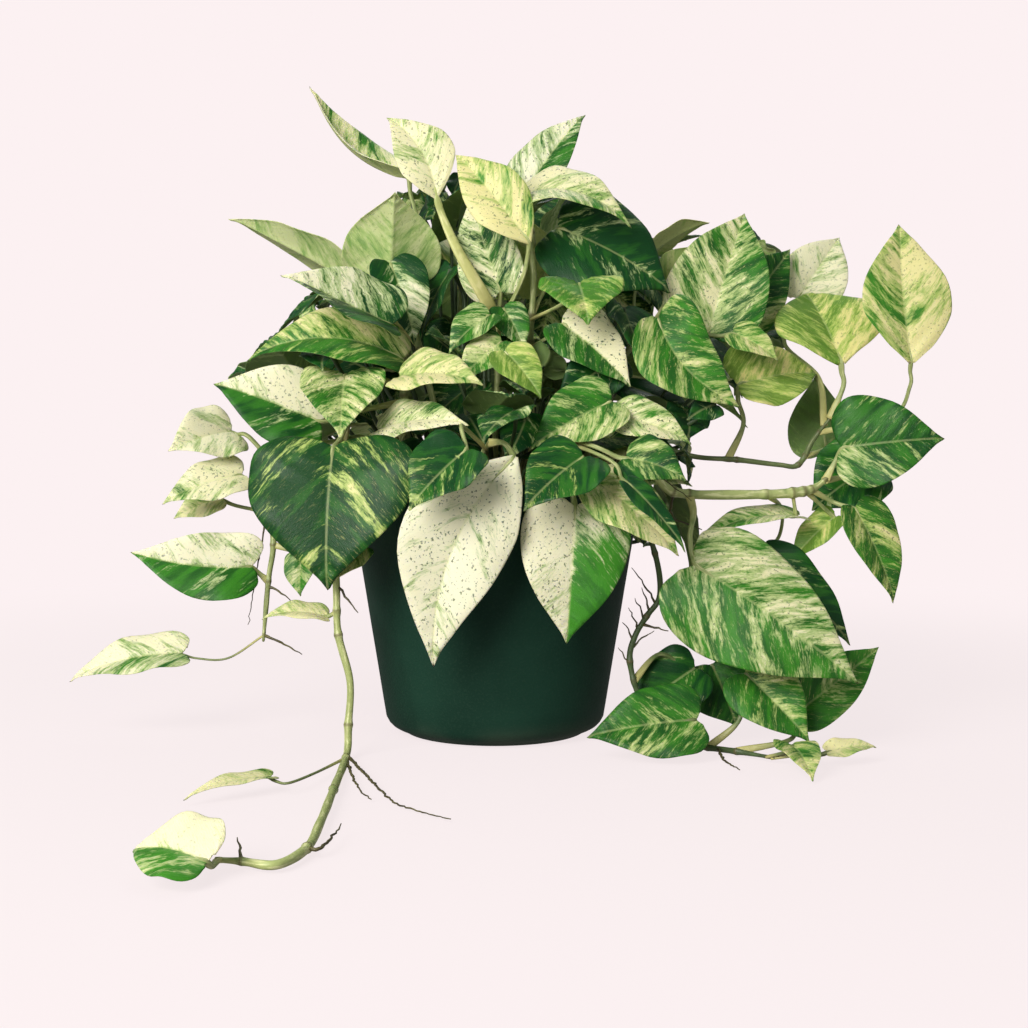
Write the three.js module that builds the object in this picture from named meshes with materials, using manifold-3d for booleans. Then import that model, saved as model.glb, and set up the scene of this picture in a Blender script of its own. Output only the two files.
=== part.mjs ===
// A potted variegated pothos: a plain nursery pot, a plug of soil and the leafy vines
// that stand in it, climb over the rim and trail down to the surface.
// Millimetres, +Z up, front towards -Y. The origin is the centre of the pot's flat base.

import * as THREE from 'three';
import { mergeVertices } from 'three/addons/utils/BufferGeometryUtils.js';
import Module from 'manifold-3d';

const wasm = await Module();
wasm.setup();

// ---- Driving dimensions ------------------------------------------------------------

const POT_HEIGHT = 150;
const POT_BASE_RADIUS = 54;
const POT_FOOT_STEP = [57, 2.2];
const POT_FOOT_CURVE = [61.5, 4.2];
const POT_WALL_FOOT = [65, 9];
const POT_WALL_TOP = [87, 141];
const POT_WALL = 1.8;
const POT_FLOOR = 2.4;
const POT_SIDES = 36;
const LIP_RADIUS = 90.5;
const LIP_EDGE = 1.4;
const DRAIN_HOLES = 8;
const DRAIN_RADIUS = 5;
const DRAIN_CIRCLE = 46;
const DRAIN_SIDES = 8;

const SOIL_TOP = 134;
const SOIL_CROWN = 3;
const SEAT_GAP = 0.3;
const HOLE_SIDES = 8;
const STEM_DEPTH = 13;
const STEM_RADIUS = 2.4;
const STEM_SIDES = 5;
const PETIOLE_RADIUS = 1.7;
const PETIOLE_SIDES = 3;
const ROOT_RADIUS = 1;
const ROOT_SIDES = 3;
const BLADE_THICKNESS = 0.8;
const BROAD_LEAF = 60;

// The vines are laid out as they are seen from a point in front of the pot. A place is
// written [across, up, near]: across and up are measured on an upright plane through the
// pot's axis, as seen from the eye, and near is how far the place stands towards the eye.
const EYE_DISTANCE = 1000;
const EYE_HEIGHT = 194;

function place([across, up, near]) {
  const shrink = (EYE_DISTANCE - near) / EYE_DISTANCE;
  return new THREE.Vector3(across * shrink, -near, EYE_HEIGHT + (up - EYE_HEIGHT) * shrink);
}

// A place seen at (across, up) that lies at a known height over the surface.
function lying(across, up, height) {
  const shrink = (EYE_HEIGHT - height) / (EYE_HEIGHT - up);
  return [across, up, EYE_DISTANCE * (1 - shrink)];
}

// A place behind the pot, by its bearing round the pot's axis (0 is right, 90 is back).
function around(bearing, radius, height) {
  const angle = THREE.MathUtils.degToRad(bearing);
  const depth = radius * Math.sin(angle);
  const shrink = (EYE_DISTANCE + depth) / EYE_DISTANCE;
  const across = radius * Math.cos(angle) / shrink;
  return [across, EYE_HEIGHT + (height - EYE_HEIGHT) / shrink, -depth];
}

// ---- The vines ---------------------------------------------------------------------

// Each vine: its name, the place of its stem in the soil (x, y), the stem's further places
// and its leaves. A leaf: its number along the stem's places, base, tip, width, the way its
// upper face looks [right, up, towards the eye], fold in degrees, arch and sway as shares of
// its length, wave in mm, the places that its petiole passes and, for a blade that narrows to
// its base, the word for it. A root: its number along the stem's places and the places that
// it passes.
const TAPERED = 'tapered';

const TOP_LEFT = {
  name: 'vine_top_left',
  foot: [-30, 6],
  stem: [[-33, 178, -4], [-42, 215, -4], [-50, 245, -6], [-55, 268, -8]],
  leaves: [
    [2.2, [-50, 330, -32], [-110, 387, -50], 38, [0.58, 0.66, 0.42], 28, -0.16, 0, 1,
      [[-45, 280, -24], [-47, 306, -29]]],
    [1.4, [-92, 272, -20], [-159, 307, -25], 38, [0.3, 0.8, -0.5], 18, 0, 0, 1, [[-72, 260, -16]]],
    [3, [-63, 270, -5], [-60, 322, 10], 62, [-0.1, 0.5, -0.85], 12, 0.05, 0, 2, []],
    [1.7, [-62, 242, 44], [-128, 273, 62], 48, [0.2, 0.7, 0.68], 28, 0, 0, 2,
      [[-69, 248, 10], [-66, 248, 28]]],
    [2.5, [-63, 279, 4], [-48, 230, 14], 36, [0.3, 0.3, 0.9], 15, 0.08, 0, 1, []],
  ],
};

const TOP_CENTRE = {
  name: 'vine_top_centre',
  foot: [0, 12],
  stem: [[0, 175, -10], [2, 215, -6], [0, 248, 0]],
  leaves: [
    [1.95, [-35, 318, 4], [-65, 367, -11], 38, [0.2, 0.1, 0.97], 10, 0.05, -0.1, 1,
      [[-6, 258, 10], [-22, 286, 12]], TAPERED],
    [1.7, [21, 291, 36], [-24, 345, 12], 38, [-0.1, 0.35, 0.93], 12, 0.08, 0, 2,
      [[15, 266, 24]], TAPERED],
    [1.8, [3, 262, 4], [-15, 320, -8], 40, [-0.3, 0.3, 0.9], 12, 0.05, 0, 2, []],
    [1.5, [5, 252, 18], [18, 226, 27], 24, [0.2, 0.4, 0.9], 15, 0.08, 0, 1, []],
    [1.2, [4, 232, 35], [-22, 206, 45], 26, [-0.2, 0.5, 0.85], 15, 0.08, 0, 1, []],
    [1.35, [-3, 248, 28], [-28, 225, 38], 26, [-0.3, 0.5, 0.8], 15, 0.08, 0, 1, []],
  ],
};

const TOP_RIGHT = {
  name: 'vine_top_right',
  foot: [24, 0],
  stem: [[22, 180, -4], [21, 232, -2], [23, 262, 0], [22, 297, 0], [19, 312, -4]],
  leaves: [
    [1.5, [31, 264, -12], [20, 306, -20], 40, [0, 0.3, -0.95], 14, 0.05, 0, 2, []],
    [3.9, [17, 320, -24], [54, 369, -40], 36, [-0.3, 0.3, 0.9], 12, 0.05, 0, 1, []],
    [3.6, [11, 317, -2], [82, 302, 34], 48, [0.05, 0.78, 0.62], 10, 0.18, 0, 2, []],
    [2.6, [38, 300, 4], [106, 262, 8], 70, [0.3, 0.35, 0.89], 2, 0.08, 0, 2, []],
    [1.4, [50, 267, 40], [56, 243, 70], 50, [0, 0.85, 0.5], 12, 0.08, 0, 2, []],
    [0.9, [40, 243, 35], [82, 205, 50], 40, [0.2, 0.4, 0.9], 12, 0.06, 0, 2, []],
    [0.8, [6, 226, 56], [28, 198, 70], 28, [0.1, 0.6, 0.78], 12, 0.06, 0, 1, [[16, 212, 30]]],
  ],
};

const RIGHT_CROWN = {
  name: 'vine_right_crown',
  foot: [50, -12],
  stem: [[58, 180, 5], [72, 215, 8], [92, 238, 10], [114, 242, 5]],
  leaves: [
    [2.2, [98, 246, 30], [148, 193, 45], 52, [0.2, 0.3, 0.93], 12, 0.06, -0.16, 2, []],
    [2.9, [128, 238, -5], [150, 310, -35], 64, [-0.1, 0.2, 0.97], 14, 0.05, 0, 2, []],
    [1.6, [95, 286, -25], [128, 304, -40], 28, [0.1, 0.6, -0.4], 8, 0.05, 0, 1, [[84, 262, -12]]],
    [2, [101, 262, -16], [125, 290, -28], 30, [-0.2, 0.5, -0.8], 15, 0.05, 0, 1, []],
    [2.7, [143, 237, 15], [170, 221, 25], 24, [0.2, 0.5, 0.8], 12, 0.06, 0, 1, []],
    [2.45, [138, 238, -25], [178, 288, -50], 44, [0.3, 0.3, 0.9], 12, 0.05, 0, 2, []],
  ],
};

const RIGHT_REACH = {
  name: 'vine_right_reach',
  foot: [60, 12],
  stem: [
    [72, 172, -10], [92, 171, -6], [119, 163, 3], [145, 161, 6], [170, 158, 6], [182, 158, 4],
    [191, 173, 0], [202, 187, 0],
  ],
  leaves: [
    [6.9, [208, 219, 2], [186, 262, -45], 72, [0, 0.7, 0.7], 12, 0.06, 0, 2, [[209, 205, 0]],
      TAPERED],
    [6.6, [182, 258, -52], [207, 295, -70], 44, [0, 0.3, 0.95], 12, 0.05, 0, 1,
      [[194, 210, -14], [174, 230, -36]]],
    [6.3, [250, 219, 16], [243, 303, -4], 56, [0.1, 0.15, 0.97], 10, 0.05, 0.04, 2,
      [[238, 187, 2], [249, 205, 10]], TAPERED],
    [2.8, [146, 206, 14], [194, 213, -12], 50, [0, 0.6, 0.8], 14, 0.06, 0, 2, [[149, 182, 8]]],
    [5.4, [199, 166, -10], [193, 213, -38], 42, [0, 0.2, -0.95], 12, 0.05, 0, 1, []],
  ],
};

const RIGHT_ARCH = {
  name: 'vine_right_arch',
  foot: [56, -36],
  stem: [
    [66, 160, 38], [80, 165, 45], [94, 157, 48], [107, 142, 46], [145, 140, 42], [185, 142, 34],
    [200, 150, 28],
  ],
  leaves: [
    [6, [208, 168, 30], [270, 174, 40], 56, [0.1, 0.3, 0.95], 10, 0.05, 0, 2, []],
    [5.8, [225, 157, 6], [190, 131, 14], 50, [-0.1, 0.5, 0.85], 12, 0.06, 0, 2, []],
    [5.2, [216, 132, 34], [240, 75, 40], 36, [0.4, 0.2, 0.85], 14, 0.05, 0, 1, [[202, 136, 28]]],
    [5.05, [204, 127, 24], [177, 99, 28], 22, [-0.4, 0.5, 0.7], 12, 0.05, 0, 1, []],
    [4.8, [181, 127, 30], [118, 110, 50], 26, [0, 0.9, 0.3], 14, 0.1, 0, 1, []],
    [3.3, [120, 98, 77], [219, 27, 98], 76, [0.1, 0.3, 0.95], -14, 0.06, 0, 3,
      [[119, 129, 54], [117, 115, 66]]],
    [4.4, [161, 103, 30], [214, 50, 46], 34, [0.3, 0.3, 0.9], 10, 0.06, 0, 2,
      [[172, 132, 14], [171, 116, 15]]],
  ],
  roots: [[3, [[106, 127, 40], [114, 123, 38], [124, 119, 36]]]],
};

const RIGHT_LOW = {
  name: 'vine_right_low',
  foot: [44, -48],
  stem: [
    [54, 157, 58], [68, 155, 72], [83, 138, 74], [96, 105, 66], [99, 80, 60], [91, 67, 60],
    [84, 55, 62], [81, 40, 62], [88, 16, 64], [105, -4, 66], lying(118, -10, 3.2),
    lying(145, -14, 3), lying(168, -18, 3),
  ],
  leaves: [
    [7.5, [120, 36, 50], [80, 6, 55], 40, [-0.2, 0.4, 0.9], 12, 0.06, 0, 2, [[98, 44, 52]]],
    [9.2, [121, 5, 87], [55, -5, 90], 44, [0, 0.55, 0.83], 8, 0.06, 0, 2, []],
    [9.6, [130, 38, 40], [145, 1, 46], 52, [0.1, 0.3, 0.9], 12, 0.06, 0, 1, [[124, 16, 46]]],
    [10.4, [150, 33, 72], [189, -8, 90], 42, [0.1, 0.3, 0.93], 12, 0.06, 0, 2,
      [[146, 4, 72], [148, 20, 70]]],
    [11, [181, 9, 64], [231, 49, 46], 34, [0.1, 0.3, 0.93], 12, 0.06, 0, 2, [[177, -7, 84]]],
    [11.8, [178, -10, 108], lying(191, -31, 2), 24, [0.1, 0.6, 0.75], 12, 0.06, 0, 1, []],
    [12, [200, -14, 102], [229, -11, 96], 14, [0, 0.8, 0.5], 14, 0.06, 0, 1, [[184, -16, 103]]],
  ],
  roots: [[5.4, [[96, 60, 66], [104, 58, 68]]], [10.6, [lying(138, -20, 1.6), lying(147, -25, 1.5)]]],
};

const LEFT_CROWN = {
  name: 'vine_left_crown',
  foot: [-50, -14],
  stem: [[-53, 176, 18], [-55, 200, 24], [-56, 218, 27]],
  leaves: [
    [2, [-56, 222, 24], [-149, 222, 38], 46, [-0.1, 0.68, 0.73], 14, 0.18, 0, 2, []],
    [1.4, [-57, 211, 54], [-7, 207, 78], 38, [0, 0.75, 0.65], 12, 0.08, 0, 2, []],
    [1.2, [-90, 212, 40], [-93, 175, 82], 50, [0, 0.6, 0.78], 12, 0.06, 0, 2, [[-74, 212, 32]]],
    [0.8, [-105, 184, 44], [-169, 207, 48], 50, [-0.2, 0.4, 0.9], 12, 0.06, 0, 2, [[-82, 190, 42]]],
    [0.4, [-70, 179, 46], [-16, 183, 82], 34, [0, 0.68, 0.73], 12, 0.08, 0, 2, []],
    [0.2, [-60, 164, 28], [-24, 150, 50], 26, [0.2, 0.5, 0.8], 12, 0.06, 0, 1, []],
  ],
};

const LEFT_REACH = {
  name: 'vine_left_reach',
  foot: [-60, 4],
  stem: [
    [-76, 172, 8], [-94, 172, 18], [-116, 168, 22], [-131, 156, 24], [-135, 134, 26],
    [-133, 110, 27], [-136, 88, 28], [-139, 52, 30],
  ],
  leaves: [
    [0.8, [-97, 169, 70], [-101, 83, 92], 96, [-0.15, 0.15, 0.97], 6, 0.08, 0, 3, [[-88, 184, 45]]],
    [3, [-158, 178, 6], [-196, 167, 34], 42, [0, 0.5, 0.85], 12, 0.06, 0, 2, [[-148, 175, 12]]],
    [3.8, [-152, 152, 22], [-200, 135, 36], 32, [-0.1, 0.6, 0.8], 12, 0.08, 0, 2, []],
    [4.2, [-165, 138, 10], [-193, 126, 16], 20, [0, 0.5, 0.85], 12, 0.06, 0, 1, []],
    [6, [-146, 97, 32], [-219, 106, 36], 42, [-0.1, 0.35, 0.93], 10, 0.04, 0.06, 2, []],
    [7, [-188, 45, 24], [-256, 29, 24], 32, [-0.1, 0.75, 0.6], 12, 0.08, 0, 2, [[-160, 42, 28]]],
    [5, [-116, 104, 36], [-117, 79, 42], 20, [-0.3, 0.3, 0.9], 12, 0.06, 0, 1, []],
  ],
  roots: [[6.9, [[-128, 51, 33], [-116, 44, 35]]], [6.1, [[-130, 82, 31], [-122, 76, 33]]]],
};

const LEFT_TRAIL = {
  name: 'vine_left_trail',
  foot: [-38, -46],
  stem: [
    [-56, 160, 60], [-72, 160, 71], [-86, 142, 76], [-95, 112, 76], [-95, 80, 76], [-94, 56, 77],
    [-87, 28, 79], [-88, 2, 80], lying(-89, -16, 3.2), lying(-97, -37, 3.2), lying(-105, -57, 3.2),
    lying(-113, -72, 3.2), lying(-131, -82, 3.2), lying(-152, -80, 3.2), lying(-168, -79, 3.6),
  ],
  leaves: [
    [3, [-80, 108, 70], [-97, 88, 88], 20, [-0.2, 0.4, 0.9], 12, 0.06, 0, 1, []],
    [4.4, [-102, 67, 76], [-140, 66, 80], 20, [0, 0.9, 0.4], 12, 0.1, 0, 1, []],
    [8.1, lying(-135, -29, 8), lying(-187, -42, 4), 12, [0, 0.93, 0.35], 12, 0.06, 0, 1,
      [lying(-108, -27, 5), lying(-124, -33, 6)]],
    [14, lying(-173, -80, 9), lying(-218, -73, 9), 40, [0, 0.85, 0.5], 14, 0.1, 0, 2, []],
  ],
  roots: [
    [8, [lying(-74, -32, 1.6), lying(-58, -46, 1.5), lying(-27, -55, 1.5)]],
    [8.1, [lying(-82, -36, 1.8), lying(-74, -43, 1.6)]],
    [3.8, [[-88, 77, 80], [-83, 69, 83]]],
    [11, [lying(-104, -72, 4), lying(-92, -58, 5)]],
    [13, [lying(-154, -66, 9)]],
  ],
};

const FRONT_LEFT = {
  name: 'vine_front_left',
  foot: [-10, -58],
  stem: [[-8, 162, 66], [-3, 172, 74]],
  leaves: [
    [1, [12, 163, 96], [-37, 36, 106], 62, [0, 0.1, 0.99], 8, 0.04, -0.11, 3, [[5, 171, 86]],
      TAPERED],
    [0.5, [-17, 167, 114], [-52, 131, 129], 42, [-0.2, 0.55, 0.8], 12, 0.06, 0, 2,
      [[-18, 180, 91], [-20, 180, 104]]],
  ],
};

const FRONT_RIGHT = {
  name: 'vine_front_right',
  foot: [22, -58],
  stem: [[28, 160, 66], [38, 170, 70], [50, 178, 70]],
  leaves: [
    [0.75, [48, 133, 92], [43, 50, 94], 60, [0, 0.1, 0.99], 8, 0.04, 0, 3, [[44, 157, 86]]],
    [1, [53, 163, 98], [17, 131, 122], 44, [-0.1, 0.6, 0.78], 12, 0.06, 0, 2, []],
    [0.5, [61, 147, 93], [111, 104, 108], 42, [0.3, 0.5, 0.8], 12, 0.06, 0, 2, [[54, 155, 84]]],
    [1.5, [79, 162, 84], [115, 149, 98], 36, [0, 0.68, 0.73], 12, 0.08, 0, 1, [[62, 168, 82]]],
    [2, [70, 196, 62], [21, 168, 76], 42, [-0.1, 0.5, 0.85], 12, 0.06, 0, 2, [[62, 188, 62]]],
    [1.8, [72, 187, 60], [118, 171, 72], 30, [0.1, 0.6, 0.75], 12, 0.08, 0, 1, []],
    [1.3, [80, 147, 108], [115, 106, 120], 16, [0.4, 0.5, 0.75], 10, 0.04, 0, 1, [[70, 160, 96]]],
  ],
};

// The vines behind and beside, which no leaf list places one by one: each tier of a vine is
// a leaf at [bearing from the vine's own, base radius, base height, tip radius, tip height,
// width, number along the stem's places], and a seeded draw moves each a little.
const BACK_VINES = [
  ['vine_back_right', 24, 0.94],
  ['vine_back_middle_right', 66, 1.02],
  ['vine_back_middle_left', 112, 0.97],
  ['vine_back_left', 154, 0.96],
];
const BACK_TIERS = [
  [-13, 100, 160, 118, 90, 58, 0.4],
  [11, 94, 190, 152, 146, 56, 0.8],
  [-12, 84, 226, 146, 200, 54, 1.6],
  [13, 76, 256, 130, 242, 50, 2.2],
  [-4, 66, 290, 104, 312, 44, 3],
];
const BACK_STEM = [[56, 168], [60, 206], [60, 240], [58, 270]];
const BACK_FOOT_RADIUS = 44;
const BACK_SPREAD = 4;
const SEED = 20240611;

// A small seeded generator, from 0 to 1.
function seededDraw(seed) {
  let state = seed;
  return () => {
    state = (state * 1664525 + 1013904223) % 4294967296;
    return state / 4294967296;
  };
}

function backLeaf([turn, inner, low, outer, high, width, at], bearing, scale, draw) {
  const shift = () => BACK_SPREAD * (2 * draw() - 1);
  const root = bearing + turn;
  const end = root + turn / 2 + 2 * shift();
  const angle = THREE.MathUtils.degToRad(root + 2 * shift());
  const base = around(root, inner, low * scale);
  const tip = around(end, outer + 2 * shift(), high * scale + 2 * shift());
  const face = [0.6 * Math.cos(angle), 0.75, -0.6 * Math.sin(angle)];
  return [at, base, tip, width + shift(), face, 12, 0.07, 0, 2, []];
}

function backVine([name, bearing, scale], index) {
  const draw = seededDraw(SEED + index);
  const angle = THREE.MathUtils.degToRad(bearing);
  return {
    name,
    foot: [BACK_FOOT_RADIUS * Math.cos(angle), BACK_FOOT_RADIUS * Math.sin(angle)],
    stem: BACK_STEM.map(([radius, height]) => around(bearing, radius, height)),
    leaves: BACK_TIERS.map((tier) => backLeaf(tier, bearing, scale, draw)),
  };
}

const VINES = [
  TOP_LEFT, TOP_CENTRE, TOP_RIGHT, RIGHT_CROWN, RIGHT_REACH, RIGHT_ARCH, RIGHT_LOW,
  LEFT_CROWN, LEFT_REACH, LEFT_TRAIL, FRONT_LEFT, FRONT_RIGHT,
  ...BACK_VINES.map(backVine),
];

// ---- Leaf blades -------------------------------------------------------------------

// The outline of a blade, by its side veins: where a vein leaves the midrib, and where it
// meets the margin, as shares of the length and of half the width.
const BROAD_VEINS = [
  [0, -0.05, 0.2], [0.03, -0.07, 0.58], [0.1, 0.03, 0.9], [0.24, 0.21, 1],
  [0.42, 0.43, 0.92], [0.6, 0.64, 0.66], [0.78, 0.82, 0.31], [0.9, 0.92, 0.11],
];
const NARROW_VEINS = [
  [0, -0.04, 0.3], [0.06, 0.04, 0.84], [0.26, 0.27, 1], [0.5, 0.53, 0.8], [0.76, 0.8, 0.34],
];
const TAPERED_VEINS = [
  [0, 0, 0.06], [0.14, 0.13, 0.55], [0.36, 0.38, 0.98], [0.55, 0.58, 0.87], [0.77, 0.8, 0.44],
];
const WAVES_PER_BLADE = 1.7;

function readLeaf([at, base, tip, width, face, fold, arch, sway, wave, passes, form]) {
  const root = place(base);
  const along = place(tip).sub(root);
  const length = along.length();
  along.normalize();
  const up = new THREE.Vector3(face[0], -face[2], face[1]);
  up.addScaledVector(along, -up.dot(along)).normalize();
  const side = new THREE.Vector3().crossVectors(up, along);
  return {
    at, root, along, up, side, length, width, arch, sway, wave, form,
    fold: THREE.MathUtils.degToRad(fold),
    passes: passes.map(place),
  };
}

// A point of the blade: x is its share of the length, y its signed share of half the width.
function bladePoint(leaf, x, y) {
  const bow = 4 * x * (1 - x) * leaf.length;
  const reach = y * leaf.width / 2;
  const ripple = leaf.wave * y * y * Math.sin(2 * Math.PI * WAVES_PER_BLADE * x + (y > 0 ? 0 : 2));
  const lift = Math.abs(reach) * Math.sin(leaf.fold) + leaf.arch * bow + ripple;
  return leaf.root.clone()
    .addScaledVector(leaf.along, x * leaf.length)
    .addScaledVector(leaf.side, reach * Math.cos(leaf.fold) + leaf.sway * bow)
    .addScaledVector(leaf.up, lift);
}

function veinsOf(leaf) {
  if (leaf.form === TAPERED) {
    return TAPERED_VEINS;
  }
  return leaf.width >= BROAD_LEAF ? BROAD_VEINS : NARROW_VEINS;
}

// The blade's middle surface: rows of points, each row following one pair of side veins.
function bladeRows(leaf) {
  const shares = leaf.width >= BROAD_LEAF ? [-1, -0.5, 0, 0.5, 1] : [-1, 0, 1];
  const rows = veinsOf(leaf).map(([middle, edge, half]) =>
    shares.map((share) => bladePoint(leaf, middle + (edge - middle) * Math.abs(share), half * share)));
  return { rows, tip: bladePoint(leaf, 1, 0) };
}

// Triangles of the middle surface, lower side out, and the loop of its rim.
function bladeSheet(leaf) {
  const { rows, tip } = bladeRows(leaf);
  const across = rows[0].length;
  const points = [...rows.flat(), tip];
  const last = points.length - 1;
  const faces = [];
  for (let row = 0; row < rows.length - 1; row += 1) {
    for (let column = 0; column < across - 1; column += 1) {
      const here = row * across + column;
      const left = column < (across - 1) / 2;
      const [a, b, c, d] = [here, here + 1, here + across + 1, here + across];
      faces.push(...(left ? [[a, b, d], [b, c, d]] : [[a, b, c], [a, c, d]]));
    }
  }
  const end = (rows.length - 1) * across;
  for (let column = 0; column < across - 1; column += 1) {
    faces.push([end + column, end + column + 1, last]);
  }
  const rim = [];
  for (let column = 0; column < across; column += 1) {
    rim.push(column);
  }
  for (let row = 1; row < rows.length; row += 1) {
    rim.push(row * across + across - 1);
  }
  rim.push(last);
  for (let row = rows.length - 1; row > 0; row -= 1) {
    rim.push(row * across);
  }
  return { points, faces, rim };
}

function pointNormals(points, faces) {
  const normals = points.map(() => new THREE.Vector3());
  for (const [a, b, c] of faces) {
    const first = points[b].clone().sub(points[a]);
    const normal = first.cross(points[c].clone().sub(points[a]));
    [a, b, c].forEach((corner) => normals[corner].add(normal));
  }
  return normals.map((normal) => normal.normalize());
}

// A closed blade: the sheet's two faces, split alike, and the rim between them.
function bladeGeometry(leaf) {
  const { points, faces, rim } = bladeSheet(leaf);
  const normals = pointNormals(points, faces);
  const half = BLADE_THICKNESS / 2;
  const lower = points.map((point, index) => point.clone().addScaledVector(normals[index], half));
  const upper = points.map((point, index) => point.clone().addScaledVector(normals[index], -half));
  const count = points.length;
  const triangles = [];
  for (const [a, b, c] of faces) {
    triangles.push(a, b, c, a + count, c + count, b + count);
  }
  rim.forEach((from, index) => {
    const to = rim[(index + 1) % rim.length];
    triangles.push(from, from + count, to + count, from, to + count, to);
  });
  const geometry = new THREE.BufferGeometry();
  geometry.setFromPoints([...lower, ...upper]);
  geometry.setIndex(triangles);
  return geometry;
}

// ---- Stems and petioles ------------------------------------------------------------

function smoothCurve(points) {
  return new THREE.CatmullRomCurve3(points, false, 'catmullrom', 0.5);
}

// A smooth curve whose steps fall on its own points, however far apart those are.
class PlacedCurve extends THREE.CatmullRomCurve3 {
  constructor(points) {
    super(points, false, 'catmullrom', 0.5);
  }

  getPointAt(share) {
    return this.getPoint(share);
  }

  getTangentAt(share) {
    return this.getTangent(share);
  }
}

function tubeGeometry(curve, radius, sides, steps) {
  const section = new THREE.Shape();
  for (let side = 0; side < sides; side += 1) {
    const angle = 2 * Math.PI * side / sides;
    const [x, y] = [radius * Math.cos(angle), radius * Math.sin(angle)];
    if (side === 0) {
      section.moveTo(x, y);
    } else {
      section.lineTo(x, y);
    }
  }
  return new THREE.ExtrudeGeometry(section, { steps, extrudePath: curve, bevelEnabled: false });
}

// A stem stands straight in its hole before it bends to its places.
const STRAIGHT_PLACES = 3;

function stemCurve(vine) {
  const [x, y] = vine.foot;
  const clear = SOIL_TOP + SOIL_CROWN + 2;
  const heights = [SOIL_TOP - STEM_DEPTH, SOIL_TOP, clear];
  const foot = heights.map((height) => new THREE.Vector3(x, y, height));
  return new PlacedCurve([...foot, ...vine.stem.map(place)]);
}

function stemSpans(vine) {
  return STRAIGHT_PLACES + vine.stem.length - 1;
}

function stemPoint(vine, curve, at) {
  return curve.getPoint((at + STRAIGHT_PLACES) / stemSpans(vine));
}

// A petiole leaves the stem, sags a little below its blade and ends in the blade's base.
const NECK_SHARE = 0.3;
const NECK_SAG = 0.12;
const END_INSET = 0.1;

function petioleCurve(vine, curve, leaf) {
  const start = stemPoint(vine, curve, Math.min(leaf.at, vine.stem.length - 1 - END_INSET));
  const before = leaf.passes.at(-1) ?? start;
  const base = bladePoint(leaf, 0, 0);
  const reach = base.distanceTo(before);
  const neck = base.clone().lerp(before, NECK_SHARE).addScaledVector(leaf.up, -NECK_SAG * reach);
  const end = bladePoint(leaf, 0.02, 0).addScaledVector(leaf.up, BLADE_THICKNESS / 4);
  return smoothCurve([start, ...leaf.passes, neck, end]);
}

// ---- Solids ------------------------------------------------------------------------

function solidOf(geometry) {
  const bare = geometry.clone();
  bare.deleteAttribute('normal');
  bare.deleteAttribute('uv');
  const merged = mergeVertices(bare, 1e-3);
  return new wasm.Manifold(new wasm.Mesh({
    numProp: 3,
    vertProperties: new Float32Array(merged.attributes.position.array),
    triVerts: new Uint32Array(merged.index.array),
  }));
}

function geometryOf(solid) {
  const { vertProperties, triVerts } = solid.getMesh();
  const geometry = new THREE.BufferGeometry();
  geometry.setAttribute('position', new THREE.Float32BufferAttribute(vertProperties, 3));
  geometry.setIndex([...triVerts]);
  return geometry;
}

function joined(solids) {
  return solids.reduce((whole, solid) => whole.add(solid));
}

function vineSolids(vine) {
  const curve = stemCurve(vine);
  const solids = [solidOf(tubeGeometry(curve, STEM_RADIUS, STEM_SIDES, stemSpans(vine)))];
  for (const row of vine.leaves) {
    const leaf = readLeaf(row);
    const petiole = petioleCurve(vine, curve, leaf);
    const steps = 3 + leaf.passes.length;
    solids.push(solidOf(tubeGeometry(petiole, PETIOLE_RADIUS, PETIOLE_SIDES, steps)));
    solids.push(solidOf(bladeGeometry(leaf)));
  }
  for (const [at, passes] of vine.roots ?? []) {
    const points = [stemPoint(vine, curve, at), ...passes.map(place)];
    const steps = 1 + 2 * passes.length;
    solids.push(solidOf(tubeGeometry(smoothCurve(points), ROOT_RADIUS, ROOT_SIDES, steps)));
  }
  return solids;
}

// ---- Pot and soil ------------------------------------------------------------------

function lathed(profile) {
  const points = profile.map(([radius, height]) => new THREE.Vector2(radius, height));
  const geometry = new THREE.LatheGeometry(points, POT_SIDES);
  return solidOf(geometry.rotateX(Math.PI / 2));
}

function upright(radius, sides, low, high, [x, y]) {
  const geometry = new THREE.CylinderGeometry(radius, radius, high - low, sides);
  return solidOf(geometry.rotateX(Math.PI / 2).translate(x, y, (low + high) / 2));
}

// The pot's profile drawn inwards by a distance, from its foot curve to the wall's top.
function wallInside(distance) {
  return [POT_FOOT_CURVE, POT_WALL_FOOT, POT_WALL_TOP].map(([radius, height]) =>
    [radius - distance, height + distance * 0.6]);
}

function potSolid() {
  const [curve, foot, top] = wallInside(POT_WALL);
  const lipFoot = POT_WALL_TOP[1];
  const profile = [
    [0, 0], [POT_BASE_RADIUS, 0], POT_FOOT_STEP, POT_FOOT_CURVE, POT_WALL_FOOT, POT_WALL_TOP,
    [LIP_RADIUS, lipFoot + LIP_EDGE], [LIP_RADIUS, POT_HEIGHT - LIP_EDGE],
    [LIP_RADIUS - LIP_EDGE, POT_HEIGHT], [top[0] + LIP_EDGE, POT_HEIGHT],
    top, foot, curve, [POT_BASE_RADIUS - 1, POT_FLOOR], [0, POT_FLOOR],
  ];
  let pot = lathed(profile);
  for (let hole = 0; hole < DRAIN_HOLES; hole += 1) {
    const angle = 2 * Math.PI * (hole + 0.5) / DRAIN_HOLES;
    const centre = [DRAIN_CIRCLE * Math.cos(angle), DRAIN_CIRCLE * Math.sin(angle)];
    pot = pot.subtract(upright(DRAIN_RADIUS, DRAIN_SIDES, -1, POT_FLOOR + 1, centre));
  }
  return pot;
}

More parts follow.
